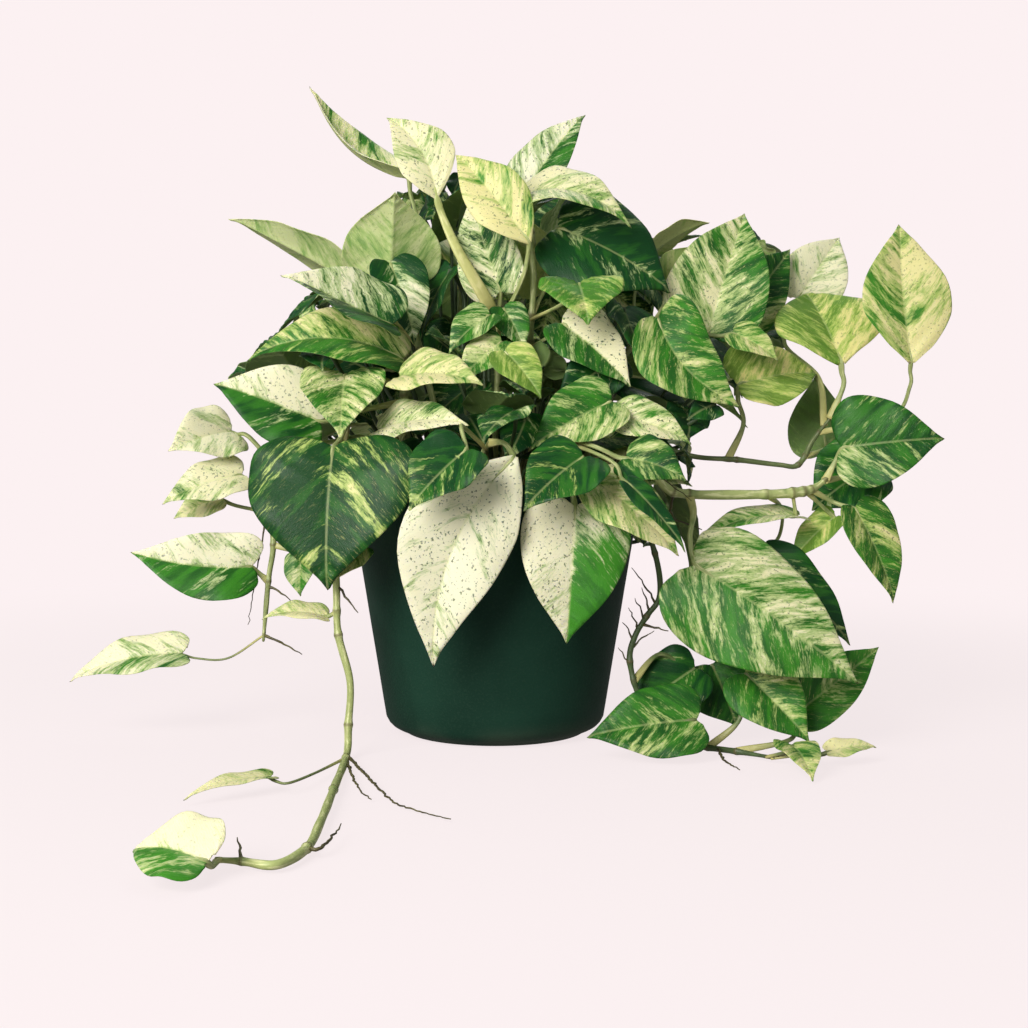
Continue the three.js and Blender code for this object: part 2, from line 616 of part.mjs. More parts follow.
function soilSolid() {
  const [curve, foot, top] = wallInside(POT_WALL + SEAT_GAP);
  const share = (SOIL_TOP - foot[1]) / (top[1] - foot[1]);
  const edge = foot[0] + share * (top[0] - foot[0]);
  const profile = [
    [0, POT_FLOOR + SEAT_GAP], [POT_BASE_RADIUS - 1 - SEAT_GAP, POT_FLOOR + SEAT_GAP],
    curve, foot, [edge, SOIL_TOP], [edge * 0.6, SOIL_TOP + SOIL_CROWN * 0.8],
    [0, SOIL_TOP + SOIL_CROWN],
  ];
  let soil = lathed(profile);
  const radius = (STEM_RADIUS + SEAT_GAP) / Math.cos(Math.PI / HOLE_SIDES);
  const bottom = SOIL_TOP - STEM_DEPTH - SEAT_GAP;
  for (const vine of VINES) {
    soil = soil.subtract(upright(radius, HOLE_SIDES, bottom, SOIL_TOP + 20, vine.foot));
  }
  return soil;
}

// ---- The assembly ------------------------------------------------------------------

const FINISHES = {
  pot: { color: 0x1e3a2c, roughness: 0.5, metalness: 0 },
  soil: { color: 0x3a2a1e, roughness: 0.95, metalness: 0 },
  leafy: { color: 0x6f9a4a, roughness: 0.45, metalness: 0 },
};

function meshOf(name, solid, finish) {
  const mesh = new THREE.Mesh(geometryOf(solid), new THREE.MeshStandardMaterial(finish));
  mesh.name = name;
  return mesh;
}

const plant = new THREE.Group();
plant.add(meshOf('pot', potSolid(), FINISHES.pot));
plant.add(meshOf('soil', soilSolid(), FINISHES.soil));
for (const vine of VINES) {
  plant.add(meshOf(vine.name, joined(vineSolids(vine)), FINISHES.leafy));
}

export default plant;
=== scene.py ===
"""A potted variegated pothos: the fine blades, stems, pot and soil that stand for the frame's nodes.

Lengths are in millimetres until a mesh is made. The vines, the blade formula and the stem
curves repeat the frame's own, so each fine piece lies where its node does.
"""
import math

import bpy
import numpy as np
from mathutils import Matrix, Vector, noise
from mathutils.kdtree import KDTree


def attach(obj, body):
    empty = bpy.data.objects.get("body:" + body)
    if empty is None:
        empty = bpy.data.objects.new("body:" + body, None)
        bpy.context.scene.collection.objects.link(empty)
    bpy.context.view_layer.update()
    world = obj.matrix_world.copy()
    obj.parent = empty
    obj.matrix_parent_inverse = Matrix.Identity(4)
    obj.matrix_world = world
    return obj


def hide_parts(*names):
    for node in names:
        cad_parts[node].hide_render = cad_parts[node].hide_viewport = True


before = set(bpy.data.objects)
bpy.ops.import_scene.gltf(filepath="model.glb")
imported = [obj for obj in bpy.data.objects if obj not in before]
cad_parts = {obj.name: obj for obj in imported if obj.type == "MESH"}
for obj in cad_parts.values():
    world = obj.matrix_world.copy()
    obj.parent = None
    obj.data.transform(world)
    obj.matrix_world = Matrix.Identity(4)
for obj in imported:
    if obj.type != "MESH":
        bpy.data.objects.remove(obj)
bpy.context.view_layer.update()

MM = 0.001

# ---- Places ------------------------------------------------------------------------

EYE_DISTANCE = 1000
EYE_HEIGHT = 194


def place(spot):
    """A place [across, up, near], as seen from the eye, to x, y, z."""
    across, up, near = spot
    shrink = (EYE_DISTANCE - near) / EYE_DISTANCE
    return np.array([across * shrink, -near, EYE_HEIGHT + (up - EYE_HEIGHT) * shrink])


def lying(across, up, height):
    """A place seen at (across, up) that lies at a known height over the surface."""
    shrink = (EYE_HEIGHT - height) / (EYE_HEIGHT - up)
    return [across, up, EYE_DISTANCE * (1 - shrink)]


def around(bearing, radius, height):
    """A place by its bearing round the pot's axis: 0 is right, 90 is back."""
    angle = math.radians(bearing)
    depth = radius * math.sin(angle)
    shrink = (EYE_DISTANCE + depth) / EYE_DISTANCE
    across = radius * math.cos(angle) / shrink
    return [across, EYE_HEIGHT + (height - EYE_HEIGHT) / shrink, -depth]


# ---- The vines ---------------------------------------------------------------------

# A leaf: its number along the stem's places, base, tip, width, the way its upper face looks
# [right, up, towards the eye], fold in degrees, arch and sway as shares of its length, wave,
# the places that its petiole passes and, for a blade that narrows to its base, the word for
# it. A root: its number along the stem's places and the places that it passes.

TAPERED = "tapered"

TOP_LEFT = {
    "name": "vine_top_left",
    "foot": [-30, 6],
    "stem": [[-33, 178, -4], [-42, 215, -4], [-50, 245, -6], [-55, 268, -8]],
    "leaves": [
        [2.2, [-50, 330, -32], [-110, 387, -50], 38, [0.58, 0.66, 0.42], 28, -0.16, 0, 1,
          [[-45, 280, -24], [-47, 306, -29]]],
        [1.4, [-92, 272, -20], [-159, 307, -25], 38, [0.3, 0.8, -0.5], 18, 0, 0, 1, [[-72, 260, -16]]],
        [3, [-63, 270, -5], [-60, 322, 10], 62, [-0.1, 0.5, -0.85], 12, 0.05, 0, 2, []],
        [1.7, [-62, 242, 44], [-128, 273, 62], 48, [0.2, 0.7, 0.68], 28, 0, 0, 2,
          [[-69, 248, 10], [-66, 248, 28]]],
        [2.5, [-63, 279, 4], [-48, 230, 14], 36, [0.3, 0.3, 0.9], 15, 0.08, 0, 1, []],
    ],
}

TOP_CENTRE = {
    "name": "vine_top_centre",
    "foot": [0, 12],
    "stem": [[0, 175, -10], [2, 215, -6], [0, 248, 0]],
    "leaves": [
        [1.95, [-35, 318, 4], [-65, 367, -11], 38, [0.2, 0.1, 0.97], 10, 0.05, -0.1, 1,
          [[-6, 258, 10], [-22, 286, 12]], TAPERED],
        [1.7, [21, 291, 36], [-24, 345, 12], 38, [-0.1, 0.35, 0.93], 12, 0.08, 0, 2,
          [[15, 266, 24]], TAPERED],
        [1.8, [3, 262, 4], [-15, 320, -8], 40, [-0.3, 0.3, 0.9], 12, 0.05, 0, 2, []],
        [1.5, [5, 252, 18], [18, 226, 27], 24, [0.2, 0.4, 0.9], 15, 0.08, 0, 1, []],
        [1.2, [4, 232, 35], [-22, 206, 45], 26, [-0.2, 0.5, 0.85], 15, 0.08, 0, 1, []],
        [1.35, [-3, 248, 28], [-28, 225, 38], 26, [-0.3, 0.5, 0.8], 15, 0.08, 0, 1, []],
    ],
}

TOP_RIGHT = {
    "name": "vine_top_right",
    "foot": [24, 0],
    "stem": [[22, 180, -4], [21, 232, -2], [23, 262, 0], [22, 297, 0], [19, 312, -4]],
    "leaves": [
        [1.5, [31, 264, -12], [20, 306, -20], 40, [0, 0.3, -0.95], 14, 0.05, 0, 2, []],
        [3.9, [17, 320, -24], [54, 369, -40], 36, [-0.3, 0.3, 0.9], 12, 0.05, 0, 1, []],
        [3.6, [11, 317, -2], [82, 302, 34], 48, [0.05, 0.78, 0.62], 10, 0.18, 0, 2, []],
        [2.6, [38, 300, 4], [106, 262, 8], 70, [0.3, 0.35, 0.89], 2, 0.08, 0, 2, []],
        [1.4, [50, 267, 40], [56, 243, 70], 50, [0, 0.85, 0.5], 12, 0.08, 0, 2, []],
        [0.9, [40, 243, 35], [82, 205, 50], 40, [0.2, 0.4, 0.9], 12, 0.06, 0, 2, []],
        [0.8, [6, 226, 56], [28, 198, 70], 28, [0.1, 0.6, 0.78], 12, 0.06, 0, 1, [[16, 212, 30]]],
    ],
}

RIGHT_CROWN = {
    "name": "vine_right_crown",
    "foot": [50, -12],
    "stem": [[58, 180, 5], [72, 215, 8], [92, 238, 10], [114, 242, 5]],
    "leaves": [
        [2.2, [98, 246, 30], [148, 193, 45], 52, [0.2, 0.3, 0.93], 12, 0.06, -0.16, 2, []],
        [2.9, [128, 238, -5], [150, 310, -35], 64, [-0.1, 0.2, 0.97], 14, 0.05, 0, 2, []],
        [1.6, [95, 286, -25], [128, 304, -40], 28, [0.1, 0.6, -0.4], 8, 0.05, 0, 1, [[84, 262, -12]]],
        [2, [101, 262, -16], [125, 290, -28], 30, [-0.2, 0.5, -0.8], 15, 0.05, 0, 1, []],
        [2.7, [143, 237, 15], [170, 221, 25], 24, [0.2, 0.5, 0.8], 12, 0.06, 0, 1, []],
        [2.45, [138, 238, -25], [178, 288, -50], 44, [0.3, 0.3, 0.9], 12, 0.05, 0, 2, []],
    ],
}

RIGHT_REACH = {
    "name": "vine_right_reach",
    "foot": [60, 12],
    "stem": [
        [72, 172, -10], [92, 171, -6], [119, 163, 3], [145, 161, 6], [170, 158, 6], [182, 158, 4],
        [191, 173, 0], [202, 187, 0],
    ],
    "leaves": [
        [6.9, [208, 219, 2], [186, 262, -45], 72, [0, 0.7, 0.7], 12, 0.06, 0, 2,
          [[209, 205, 0]], TAPERED],
        [6.6, [182, 258, -52], [207, 295, -70], 44, [0, 0.3, 0.95], 12, 0.05, 0, 1,
          [[194, 210, -14], [174, 230, -36]]],
        [6.3, [250, 219, 16], [243, 303, -4], 56, [0.1, 0.15, 0.97], 10, 0.05, 0.04, 2,
          [[238, 187, 2], [249, 205, 10]], TAPERED],
        [2.8, [146, 206, 14], [194, 213, -12], 50, [0, 0.6, 0.8], 14, 0.06, 0, 2, [[149, 182, 8]]],
        [5.4, [199, 166, -10], [193, 213, -38], 42, [0, 0.2, -0.95], 12, 0.05, 0, 1, []],
    ],
}

RIGHT_ARCH = {
    "name": "vine_right_arch",
    "foot": [56, -36],
    "stem": [
        [66, 160, 38], [80, 165, 45], [94, 157, 48], [107, 142, 46], [145, 140, 42], [185, 142, 34],
        [200, 150, 28],
    ],
    "leaves": [
        [6, [208, 168, 30], [270, 174, 40], 56, [0.1, 0.3, 0.95], 10, 0.05, 0, 2, []],
        [5.8, [225, 157, 6], [190, 131, 14], 50, [-0.1, 0.5, 0.85], 12, 0.06, 0, 2, []],
        [5.2, [216, 132, 34], [240, 75, 40], 36, [0.4, 0.2, 0.85], 14, 0.05, 0, 1, [[202, 136, 28]]],
        [5.05, [204, 127, 24], [177, 99, 28], 22, [-0.4, 0.5, 0.7], 12, 0.05, 0, 1, []],
        [4.8, [181, 127, 30], [118, 110, 50], 26, [0, 0.9, 0.3], 14, 0.1, 0, 1, []],
        [3.3, [120, 98, 77], [219, 27, 98], 76, [0.1, 0.3, 0.95], -14, 0.06, 0, 3,
          [[119, 129, 54], [117, 115, 66]]],
        [4.4, [161, 103, 30], [214, 50, 46], 34, [0.3, 0.3, 0.9], 10, 0.06, 0, 2,
          [[172, 132, 14], [171, 116, 15]]],
    ],
    "roots": [[3, [[106, 127, 40], [114, 123, 38], [124, 119, 36]]]],
}

RIGHT_LOW = {
    "name": "vine_right_low",
    "foot": [44, -48],
    "stem": [
        [54, 157, 58], [68, 155, 72], [83, 138, 74], [96, 105, 66], [99, 80, 60], [91, 67, 60],
        [84, 55, 62], [81, 40, 62], [88, 16, 64], [105, -4, 66], lying(118, -10, 3.2),
        lying(145, -14, 3), lying(168, -18, 3),
    ],
    "leaves": [
        [7.5, [120, 36, 50], [80, 6, 55], 40, [-0.2, 0.4, 0.9], 12, 0.06, 0, 2, [[98, 44, 52]]],
        [9.2, [121, 5, 87], [55, -5, 90], 44, [0, 0.55, 0.83], 8, 0.06, 0, 2, []],
        [9.6, [130, 38, 40], [145, 1, 46], 52, [0.1, 0.3, 0.9], 12, 0.06, 0, 1, [[124, 16, 46]]],
        [10.4, [150, 33, 72], [189, -8, 90], 42, [0.1, 0.3, 0.93], 12, 0.06, 0, 2,
          [[146, 4, 72], [148, 20, 70]]],
        [11, [181, 9, 64], [231, 49, 46], 34, [0.1, 0.3, 0.93], 12, 0.06, 0, 2, [[177, -7, 84]]],
        [11.8, [178, -10, 108], lying(191, -31, 2), 24, [0.1, 0.6, 0.75], 12, 0.06, 0, 1, []],
        [12, [200, -14, 102], [229, -11, 96], 14, [0, 0.8, 0.5], 14, 0.06, 0, 1, [[184, -16, 103]]],
    ],
    "roots": [[5.4, [[96, 60, 66], [104, 58, 68]]], [10.6, [lying(138, -20, 1.6), lying(147, -25, 1.5)]]],
}

LEFT_CROWN = {
    "name": "vine_left_crown",
    "foot": [-50, -14],
    "stem": [[-53, 176, 18], [-55, 200, 24], [-56, 218, 27]],
    "leaves": [
        [2, [-56, 222, 24], [-149, 222, 38], 46, [-0.1, 0.68, 0.73], 14, 0.18, 0, 2, []],
        [1.4, [-57, 211, 54], [-7, 207, 78], 38, [0, 0.75, 0.65], 12, 0.08, 0, 2, []],
        [1.2, [-90, 212, 40], [-93, 175, 82], 50, [0, 0.6, 0.78], 12, 0.06, 0, 2, [[-74, 212, 32]]],
        [0.8, [-105, 184, 44], [-169, 207, 48], 50, [-0.2, 0.4, 0.9], 12, 0.06, 0, 2, [[-82, 190, 42]]],
        [0.4, [-70, 179, 46], [-16, 183, 82], 34, [0, 0.68, 0.73], 12, 0.08, 0, 2, []],
        [0.2, [-60, 164, 28], [-24, 150, 50], 26, [0.2, 0.5, 0.8], 12, 0.06, 0, 1, []],
    ],
}

LEFT_REACH = {
    "name": "vine_left_reach",
    "foot": [-60, 4],
    "stem": [
        [-76, 172, 8], [-94, 172, 18], [-116, 168, 22], [-131, 156, 24], [-135, 134, 26],
        [-133, 110, 27], [-136, 88, 28], [-139, 52, 30],
    ],
    "leaves": [
        [0.8, [-97, 169, 70], [-101, 83, 92], 96, [-0.15, 0.15, 0.97], 6, 0.08, 0, 3, [[-88, 184, 45]]],
        [3, [-158, 178, 6], [-196, 167, 34], 42, [0, 0.5, 0.85], 12, 0.06, 0, 2, [[-148, 175, 12]]],
        [3.8, [-152, 152, 22], [-200, 135, 36], 32, [-0.1, 0.6, 0.8], 12, 0.08, 0, 2, []],
        [4.2, [-165, 138, 10], [-193, 126, 16], 20, [0, 0.5, 0.85], 12, 0.06, 0, 1, []],
        [6, [-146, 97, 32], [-219, 106, 36], 42, [-0.1, 0.35, 0.93], 10, 0.04, 0.06, 2, []],
        [7, [-188, 45, 24], [-256, 29, 24], 32, [-0.1, 0.75, 0.6], 12, 0.08, 0, 2, [[-160, 42, 28]]],
        [5, [-116, 104, 36], [-117, 79, 42], 20, [-0.3, 0.3, 0.9], 12, 0.06, 0, 1, []],
    ],
    "roots": [[6.9, [[-128, 51, 33], [-116, 44, 35]]], [6.1, [[-130, 82, 31], [-122, 76, 33]]]],
}

LEFT_TRAIL = {
    "name": "vine_left_trail",
    "foot": [-38, -46],
    "stem": [
        [-56, 160, 60], [-72, 160, 71], [-86, 142, 76], [-95, 112, 76], [-95, 80, 76], [-94, 56, 77],
        [-87, 28, 79], [-88, 2, 80], lying(-89, -16, 3.2), lying(-97, -37, 3.2), lying(-105, -57, 3.2),
        lying(-113, -72, 3.2), lying(-131, -82, 3.2), lying(-152, -80, 3.2), lying(-168, -79, 3.6),
    ],
    "leaves": [
        [3, [-80, 108, 70], [-97, 88, 88], 20, [-0.2, 0.4, 0.9], 12, 0.06, 0, 1, []],
        [4.4, [-102, 67, 76], [-140, 66, 80], 20, [0, 0.9, 0.4], 12, 0.1, 0, 1, []],
        [8.1, lying(-135, -29, 8), lying(-187, -42, 4), 12, [0, 0.93, 0.35], 12, 0.06, 0, 1,
          [lying(-108, -27, 5), lying(-124, -33, 6)]],
        [14, lying(-173, -80, 9), lying(-218, -73, 9), 40, [0, 0.85, 0.5], 14, 0.1, 0, 2, []],
    ],
    "roots": [
        [8, [lying(-74, -32, 1.6), lying(-58, -46, 1.5), lying(-27, -55, 1.5)]],
        [8.1, [lying(-82, -36, 1.8), lying(-74, -43, 1.6)]],
        [3.8, [[-88, 77, 80], [-83, 69, 83]]],
        [11, [lying(-104, -72, 4), lying(-92, -58, 5)]],
        [13, [lying(-154, -66, 9)]],
    ],
}

FRONT_LEFT = {
    "name": "vine_front_left",
    "foot": [-10, -58],
    "stem": [[-8, 162, 66], [-3, 172, 74]],
    "leaves": [
        [1, [12, 163, 96], [-37, 36, 106], 62, [0, 0.1, 0.99], 8, 0.04, -0.11, 3,
          [[5, 171, 86]], TAPERED],
        [0.5, [-17, 167, 114], [-52, 131, 129], 42, [-0.2, 0.55, 0.8], 12, 0.06, 0, 2,
          [[-18, 180, 91], [-20, 180, 104]]],
    ],
}

FRONT_RIGHT = {
    "name": "vine_front_right",
    "foot": [22, -58],
    "stem": [[28, 160, 66], [38, 170, 70], [50, 178, 70]],
    "leaves": [
        [0.75, [48, 133, 92], [43, 50, 94], 60, [0, 0.1, 0.99], 8, 0.04, 0, 3, [[44, 157, 86]]],
        [1, [53, 163, 98], [17, 131, 122], 44, [-0.1, 0.6, 0.78], 12, 0.06, 0, 2, []],
        [0.5, [61, 147, 93], [111, 104, 108], 42, [0.3, 0.5, 0.8], 12, 0.06, 0, 2, [[54, 155, 84]]],
        [1.5, [79, 162, 84], [115, 149, 98], 36, [0, 0.68, 0.73], 12, 0.08, 0, 1, [[62, 168, 82]]],
        [2, [70, 196, 62], [21, 168, 76], 42, [-0.1, 0.5, 0.85], 12, 0.06, 0, 2, [[62, 188, 62]]],
        [1.8, [72, 187, 60], [118, 171, 72], 30, [0.1, 0.6, 0.75], 12, 0.08, 0, 1, []],
        [1.3, [80, 147, 108], [115, 106, 120], 16, [0.4, 0.5, 0.75], 10, 0.04, 0, 1, [[70, 160, 96]]],
    ],
}

# The vines behind and beside: name, bearing and a factor for the heights of its leaves. Each
# tier is a leaf at [bearing from the vine's own, base radius, base height, tip radius, tip
# height, width, number along the stem's places].
BACK_VINES = [
    ["vine_back_right", 24, 0.94],
    ["vine_back_middle_right", 66, 1.02],
    ["vine_back_middle_left", 112, 0.97],
    ["vine_back_left", 154, 0.96],
]
BACK_TIERS = [
    [-13, 100, 160, 118, 90, 58, 0.4],
    [11, 94, 190, 152, 146, 56, 0.8],
    [-12, 84, 226, 146, 200, 54, 1.6],
    [13, 76, 256, 130, 242, 50, 2.2],
    [-4, 66, 290, 104, 312, 44, 3],
]
BACK_STEM = [[56, 168], [60, 206], [60, 240], [58, 270]]
BACK_FOOT_RADIUS = 44
BACK_SPREAD = 4
# The way their faces look, outward and up, and their fold, arch, sway and wave.
BACK_LEAN, BACK_RISE = 0.6, 0.75
BACK_FORM = [12, 0.07, 0, 2]
SEED = 20240611


def seeded_draw(seed):
    """The frame's own small generator, from 0 to 1."""
    state = seed
    while True:
        state = (state * 1664525 + 1013904223) % 4294967296
        yield state / 4294967296


def back_leaf(tier, bearing, scale, draw):
    turn, inner, low, outer, high, width, at = tier

    def shift():
        return BACK_SPREAD * (2 * next(draw) - 1)

    root = bearing + turn
    end = root + turn / 2 + 2 * shift()
    angle = math.radians(root + 2 * shift())
    base = around(root, inner, low * scale)
    tip_radius = outer + 2 * shift()
    tip = around(end, tip_radius, high * scale + 2 * shift())
    face = [BACK_LEAN * math.cos(angle), BACK_RISE, -BACK_LEAN * math.sin(angle)]
    return [at, base, tip, width + shift(), face, *BACK_FORM, []]


def back_vine(index):
    name, bearing, scale = BACK_VINES[index]
    draw = seeded_draw(SEED + index)
    angle = math.radians(bearing)
    return {
        "name": name,
        "foot": [BACK_FOOT_RADIUS * math.cos(angle), BACK_FOOT_RADIUS * math.sin(angle)],
        "stem": [around(bearing, radius, height) for radius, height in BACK_STEM],
        "leaves": [back_leaf(tier, bearing, scale, draw) for tier in BACK_TIERS],
    }


VINES = [
    TOP_LEFT, TOP_CENTRE, TOP_RIGHT, RIGHT_CROWN, RIGHT_REACH, RIGHT_ARCH, RIGHT_LOW,
    LEFT_CROWN, LEFT_REACH, LEFT_TRAIL, FRONT_LEFT, FRONT_RIGHT,
] + [back_vine(index) for index in range(len(BACK_VINES))]

# How each leaf is marbled, in the vine's own order: the share of green in its left or upper
# half and in its other half, how yellow its pale parts are, how deep its green is, how much
# fine fleck it has, and how much greener it gets towards its tip.
TONES = {
    "vine_top_left": [
        [0.06, 0.55, 0.4, 0.5, 0.3, 0], [0.22, 0.2, 0.4, 0.3, 0.3, 0], [0.34, 0.3, 0.45, 0.3, 0.5, 0],
        [0.5, 1.0, 0.1, 0.9, 0.6, -0.9], [1.0, 0.75, 0.1, 0.95, 0.3, 0],
    ],
    "vine_top_centre": [
        [0.14, 0.16, 0.35, 0.3, 0.7, 0], [0.24, 0.22, 0.75, 0.2, 0.6, 0], [0.38, 0.6, 0.2, 0.8, 1.0, 0],
        [0.85, 0.75, 0.2, 0.5, 0.3, 0], [0.45, 0.52, 0.5, 0.3, 0.5, 0], [0.75, 0.8, 0.35, 0.5, 0.5, 0],
    ],
    "vine_top_right": [
        # This vine's first leaf lies in shade; its low green shares are partly its own pale colour and
        # partly painted light.
        [0, 0.12, 0.8, 0.2, 0.4, 0], [0.2, 0.75, 0, 0.6, 0.8, 0], [0.24, 0.3, 0.4, 0.4, 0.8, 0.5],
        [1.0, 0.98, 0.2, 1.0, 0.15, 0], [0.78, 0.75, 0.8, 0.1, 0.4, 0], [0.8, 0.06, 0.3, 0.5, 0.9, 0],
        [0.7, 0.7, 0.9, 0.1, 0.4, 0],
    ],
    "vine_right_crown": [
        # This vine's third leaf lies in shade; its low green shares are partly its own pale colour and
        # partly painted light.
        [0.8, 0.62, 0.6, 0.35, 0.8, -0.1], [0.44, 0.58, 0.4, 0.5, 0.7, 0], [0, 0.3, 0.8, 0.15, 0.4, 0],
        [0.5, 0.4, 0.8, 0.3, 0.4, 0], [0.45, 0.35, 0.7, 0.2, 0.5, 0], [0.85, 0.8, 0.5, 0.6, 0.4, 0],
    ],
    "vine_right_reach": [
        [0.8, 0.36, 0.9, 0.05, 0.4, 0], [0, 0.2, 0.15, 0.3, 0.4, 0], [0.4, 0.3, 0.75, 0.1, 0.5, -0.25],
        [0.5, 0.78, 0.95, 0.1, 0.3, 0], [0.9, 1.0, 0.3, 0.8, 0.3, 0],
    ],
    "vine_right_arch": [
        [1.0, 0.86, 0.4, 0.6, 0.5, -0.08], [0.98, 0.95, 0.3, 0.7, 0.5, 0], [0.62, 0.7, 0.75, 0.4, 0.7, 0],
        [0.75, 0.75, 0.9, 0.1, 0.2, 0], [0.4, 0.4, 0.4, 0.2, 0.5, 0], [0.52, 0.7, 0.35, 0.35, 0.6, 0],
        [1.0, 1.0, 0.4, 0.9, 0.3, 0],
    ],
    "vine_right_low": [
        [0.97, 0.97, 0.5, 0.8, 0.5, 0], [0.94, 0.92, 0.5, 0.5, 0.6, 0], [0.97, 0.95, 0.5, 0.65, 0.4, 0],
        [0.92, 0.5, 0.6, 0.4, 0.6, 0], [0.88, 0.8, 0.5, 0.3, 0.6, 0], [0.42, 0.5, 0.7, 0.2, 0.5, 0],
        [0.3, 0.5, 0.6, 0.3, 0.4, 0],
    ],
    "vine_left_crown": [
        [0.5, 0.92, 0.7, 0.45, 0.5, 0], [0.26, 0.3, 0.65, 0.3, 0.6, 0], [0.5, 0.5, 0.5, 0.4, 0.8, 0],
        [0.08, 1.0, 0.15, 0.65, 0.7, 0], [0.38, 0.1, 0.3, 0.5, 0.8, 0], [1.0, 1.0, 0.2, 1.0, 0.2, 0],
    ],
    "vine_left_reach": [
        [0.95, 0.9, 0.74, 1.0, 0.5, 0], [0.12, 0.25, 0.2, 0.4, 0.5, 0], [0.2, 0.22, 0.3, 0.4, 0.6, 0],
        [0.5, 0.3, 0.5, 0.3, 0.4, 0], [0.1, 1.0, 0.1, 0.4, 0.6, 0], [0.12, 0.4, 0.2, 0.4, 0.4, -0.1],
        [0.5, 0.7, 0.35, 0.3, 0.4, 0],
    ],
    "vine_left_trail": [
        [0.6, 0.5, 0.7, 0.2, 0.3, 0], [0.3, 0.3, 0.5, 0.2, 0.3, 0], [0.34, 0.34, 0.5, 0.3, 0.4, 0],
        [0.05, 0.85, 0.3, 0, 0.3, 0],
    ],
    "vine_front_left": [[0, 0, 0.05, 0.8, 0.8, 0], [1.0, 1.0, 0.6, 0.9, 0.6, -0.6]],
    "vine_front_right": [
        [-0.1, 0.92, 0.12, 0.1, 0.8, 0.5], [1.0, 1.0, 0.7, 0.8, 0.6, -0.4], [0.3, 0.4, 0.6, 0.1, 0.5, 0],
        [0.92, 0.98, 0.5, 0.75, 0.7, -0.1], [0.92, 0.5, 0.5, 0.4, 0.6, 0], [0.4, 0.45, 0.4, 0.4, 0.9, 0],
        [1.0, 1.0, 0.3, 0.85, 0.2, 0],
    ],
}
TONE_SEED = 5


def tones_of(vine):
    """The table's tones, or a seeded mix of the same kinds for the vines behind."""
    if vine["name"] in TONES:
        return TONES[vine["name"]]
    kinds = [tone for group in TONES.values() for tone in group]
    draw = np.random.default_rng(TONE_SEED + len(vine["name"]))
    return [kinds[draw.integers(len(kinds))] for _ in vine["leaves"]]


# How dark the stem and the petioles of each vine are, from pale yellow-green: partly their own colour,
# partly painted shade.
STEM_DARK = {
    "vine_right_reach": [0.75, 0.35], "vine_right_low": [0.9, 0.7], "vine_right_arch": [0.12, 0.3],
    "vine_left_trail": [0.15, 0.35], "vine_left_reach": [0.4, 0.45],
}
STEM_DARK_ELSE = [0.4, 0.3]
# How thick a vine's stem is beside the usual one.
STEM_GIRTH = {
    "vine_right_reach": 0.68, "vine_right_low": 0.72, "vine_right_arch": 1.2, "vine_left_reach": 0.7,
}
# Petioles unlike the usual one, by vine and leaf: girth, how much wider the sheath is, and
# how much darker the petiole is.
PETIOLE_KINDS = {
    ("vine_top_centre", 1): [1.3, 1.7, -0.3], ("vine_left_reach", 6): [0.5, 0.2, 0.2],
    ("vine_left_trail", 3): [0.7, 0.5, 0.3], ("vine_right_reach", 3): [0.8, 0.6, 0],
}
PETIOLE_USUAL = [1.0, 0.75, 0]
# Short dead rootlets, by vine: where they leave the stem, and where they end.
ROOTLETS = {
    "vine_right_low": [
        [4.4, [82, 96, 60]], [4.8, [88, 84, 56]], [5.2, [84, 78, 58]], [5.7, [80, 72, 58]],
        [6.2, [77, 63, 62]], [6.6, [96, 58, 60]], [7.2, [74, 48, 62]],
    ],
    "vine_left_reach": [[3.4, [-148, 62, 26]]],
    "vine_right_arch": [[0.8, [118, 136, 60]]],
}

# ---- Curves ------------------------------------------------------------------------


def curve_at(points, index):
    """The point of a smooth curve through points, at a number along them."""
    points = np.asarray(points, float)
    start = 2 * points[0] - points[1]
    end = 2 * points[-1] - points[-2]
    run = np.vstack([start, points, end])
    index = np.clip(np.atleast_1d(np.asarray(index, float)), 0, len(points) - 1)
    span = np.minimum(index.astype(int), len(points) - 2)
    u = (index - span)[:, None]
    a, b, c, d = (run[span + step] for step in range(4))
    return b + 0.5 * u * (c - a + u * (2 * a - 5 * b + 4 * c - d + u * (3 * (b - c) + d - a)))


def curve_run(points, step):
    """Numbers along the points, about one every step millimetres."""
    points = np.asarray(points, float)
    lengths = np.linalg.norm(np.diff(points, axis=0), axis=1)
    numbers = [0.0]
    for span, length in enumerate(lengths):
        count = max(2, math.ceil(length / step))
        numbers += [span + (k + 1) / count for k in range(count)]
    return np.array(numbers)


def lengths_along(points):
    """How far along the run each of its points lies."""
    return np.concatenate([[0], np.cumsum(np.linalg.norm(np.diff(points, axis=0), axis=1))])


# ---- Gathering a mesh --------------------------------------------------------------

BLADE, STALK = 0, 1
# No point of a leaf or stem lies lower than this over the surface.
LEAST_HEIGHT = 0.3
# How point values are stored, by how many numbers a point has.
VALUE_FORMS = {3: ("FLOAT_VECTOR", "vector"), 4: ("FLOAT_COLOR", "color")}
# How far a tube's ends stand out: in millimetres where it starts, and in radii where it ends.
START_BULGE, END_BULGE = 0.2, 0.5


def shifted(faces, count):
    """Faces with a count added to each of their point numbers."""
    return [[corner + count for corner in face] for face in faces]


def circle(sides):
    """Angles evenly round a full turn."""
    return 2 * np.pi * np.arange(sides) / sides


def linked(name, data):
    """A new object with this data, in the scene."""
    made = bpy.data.objects.new(name, data)
    bpy.context.scene.collection.objects.link(made)
    return made


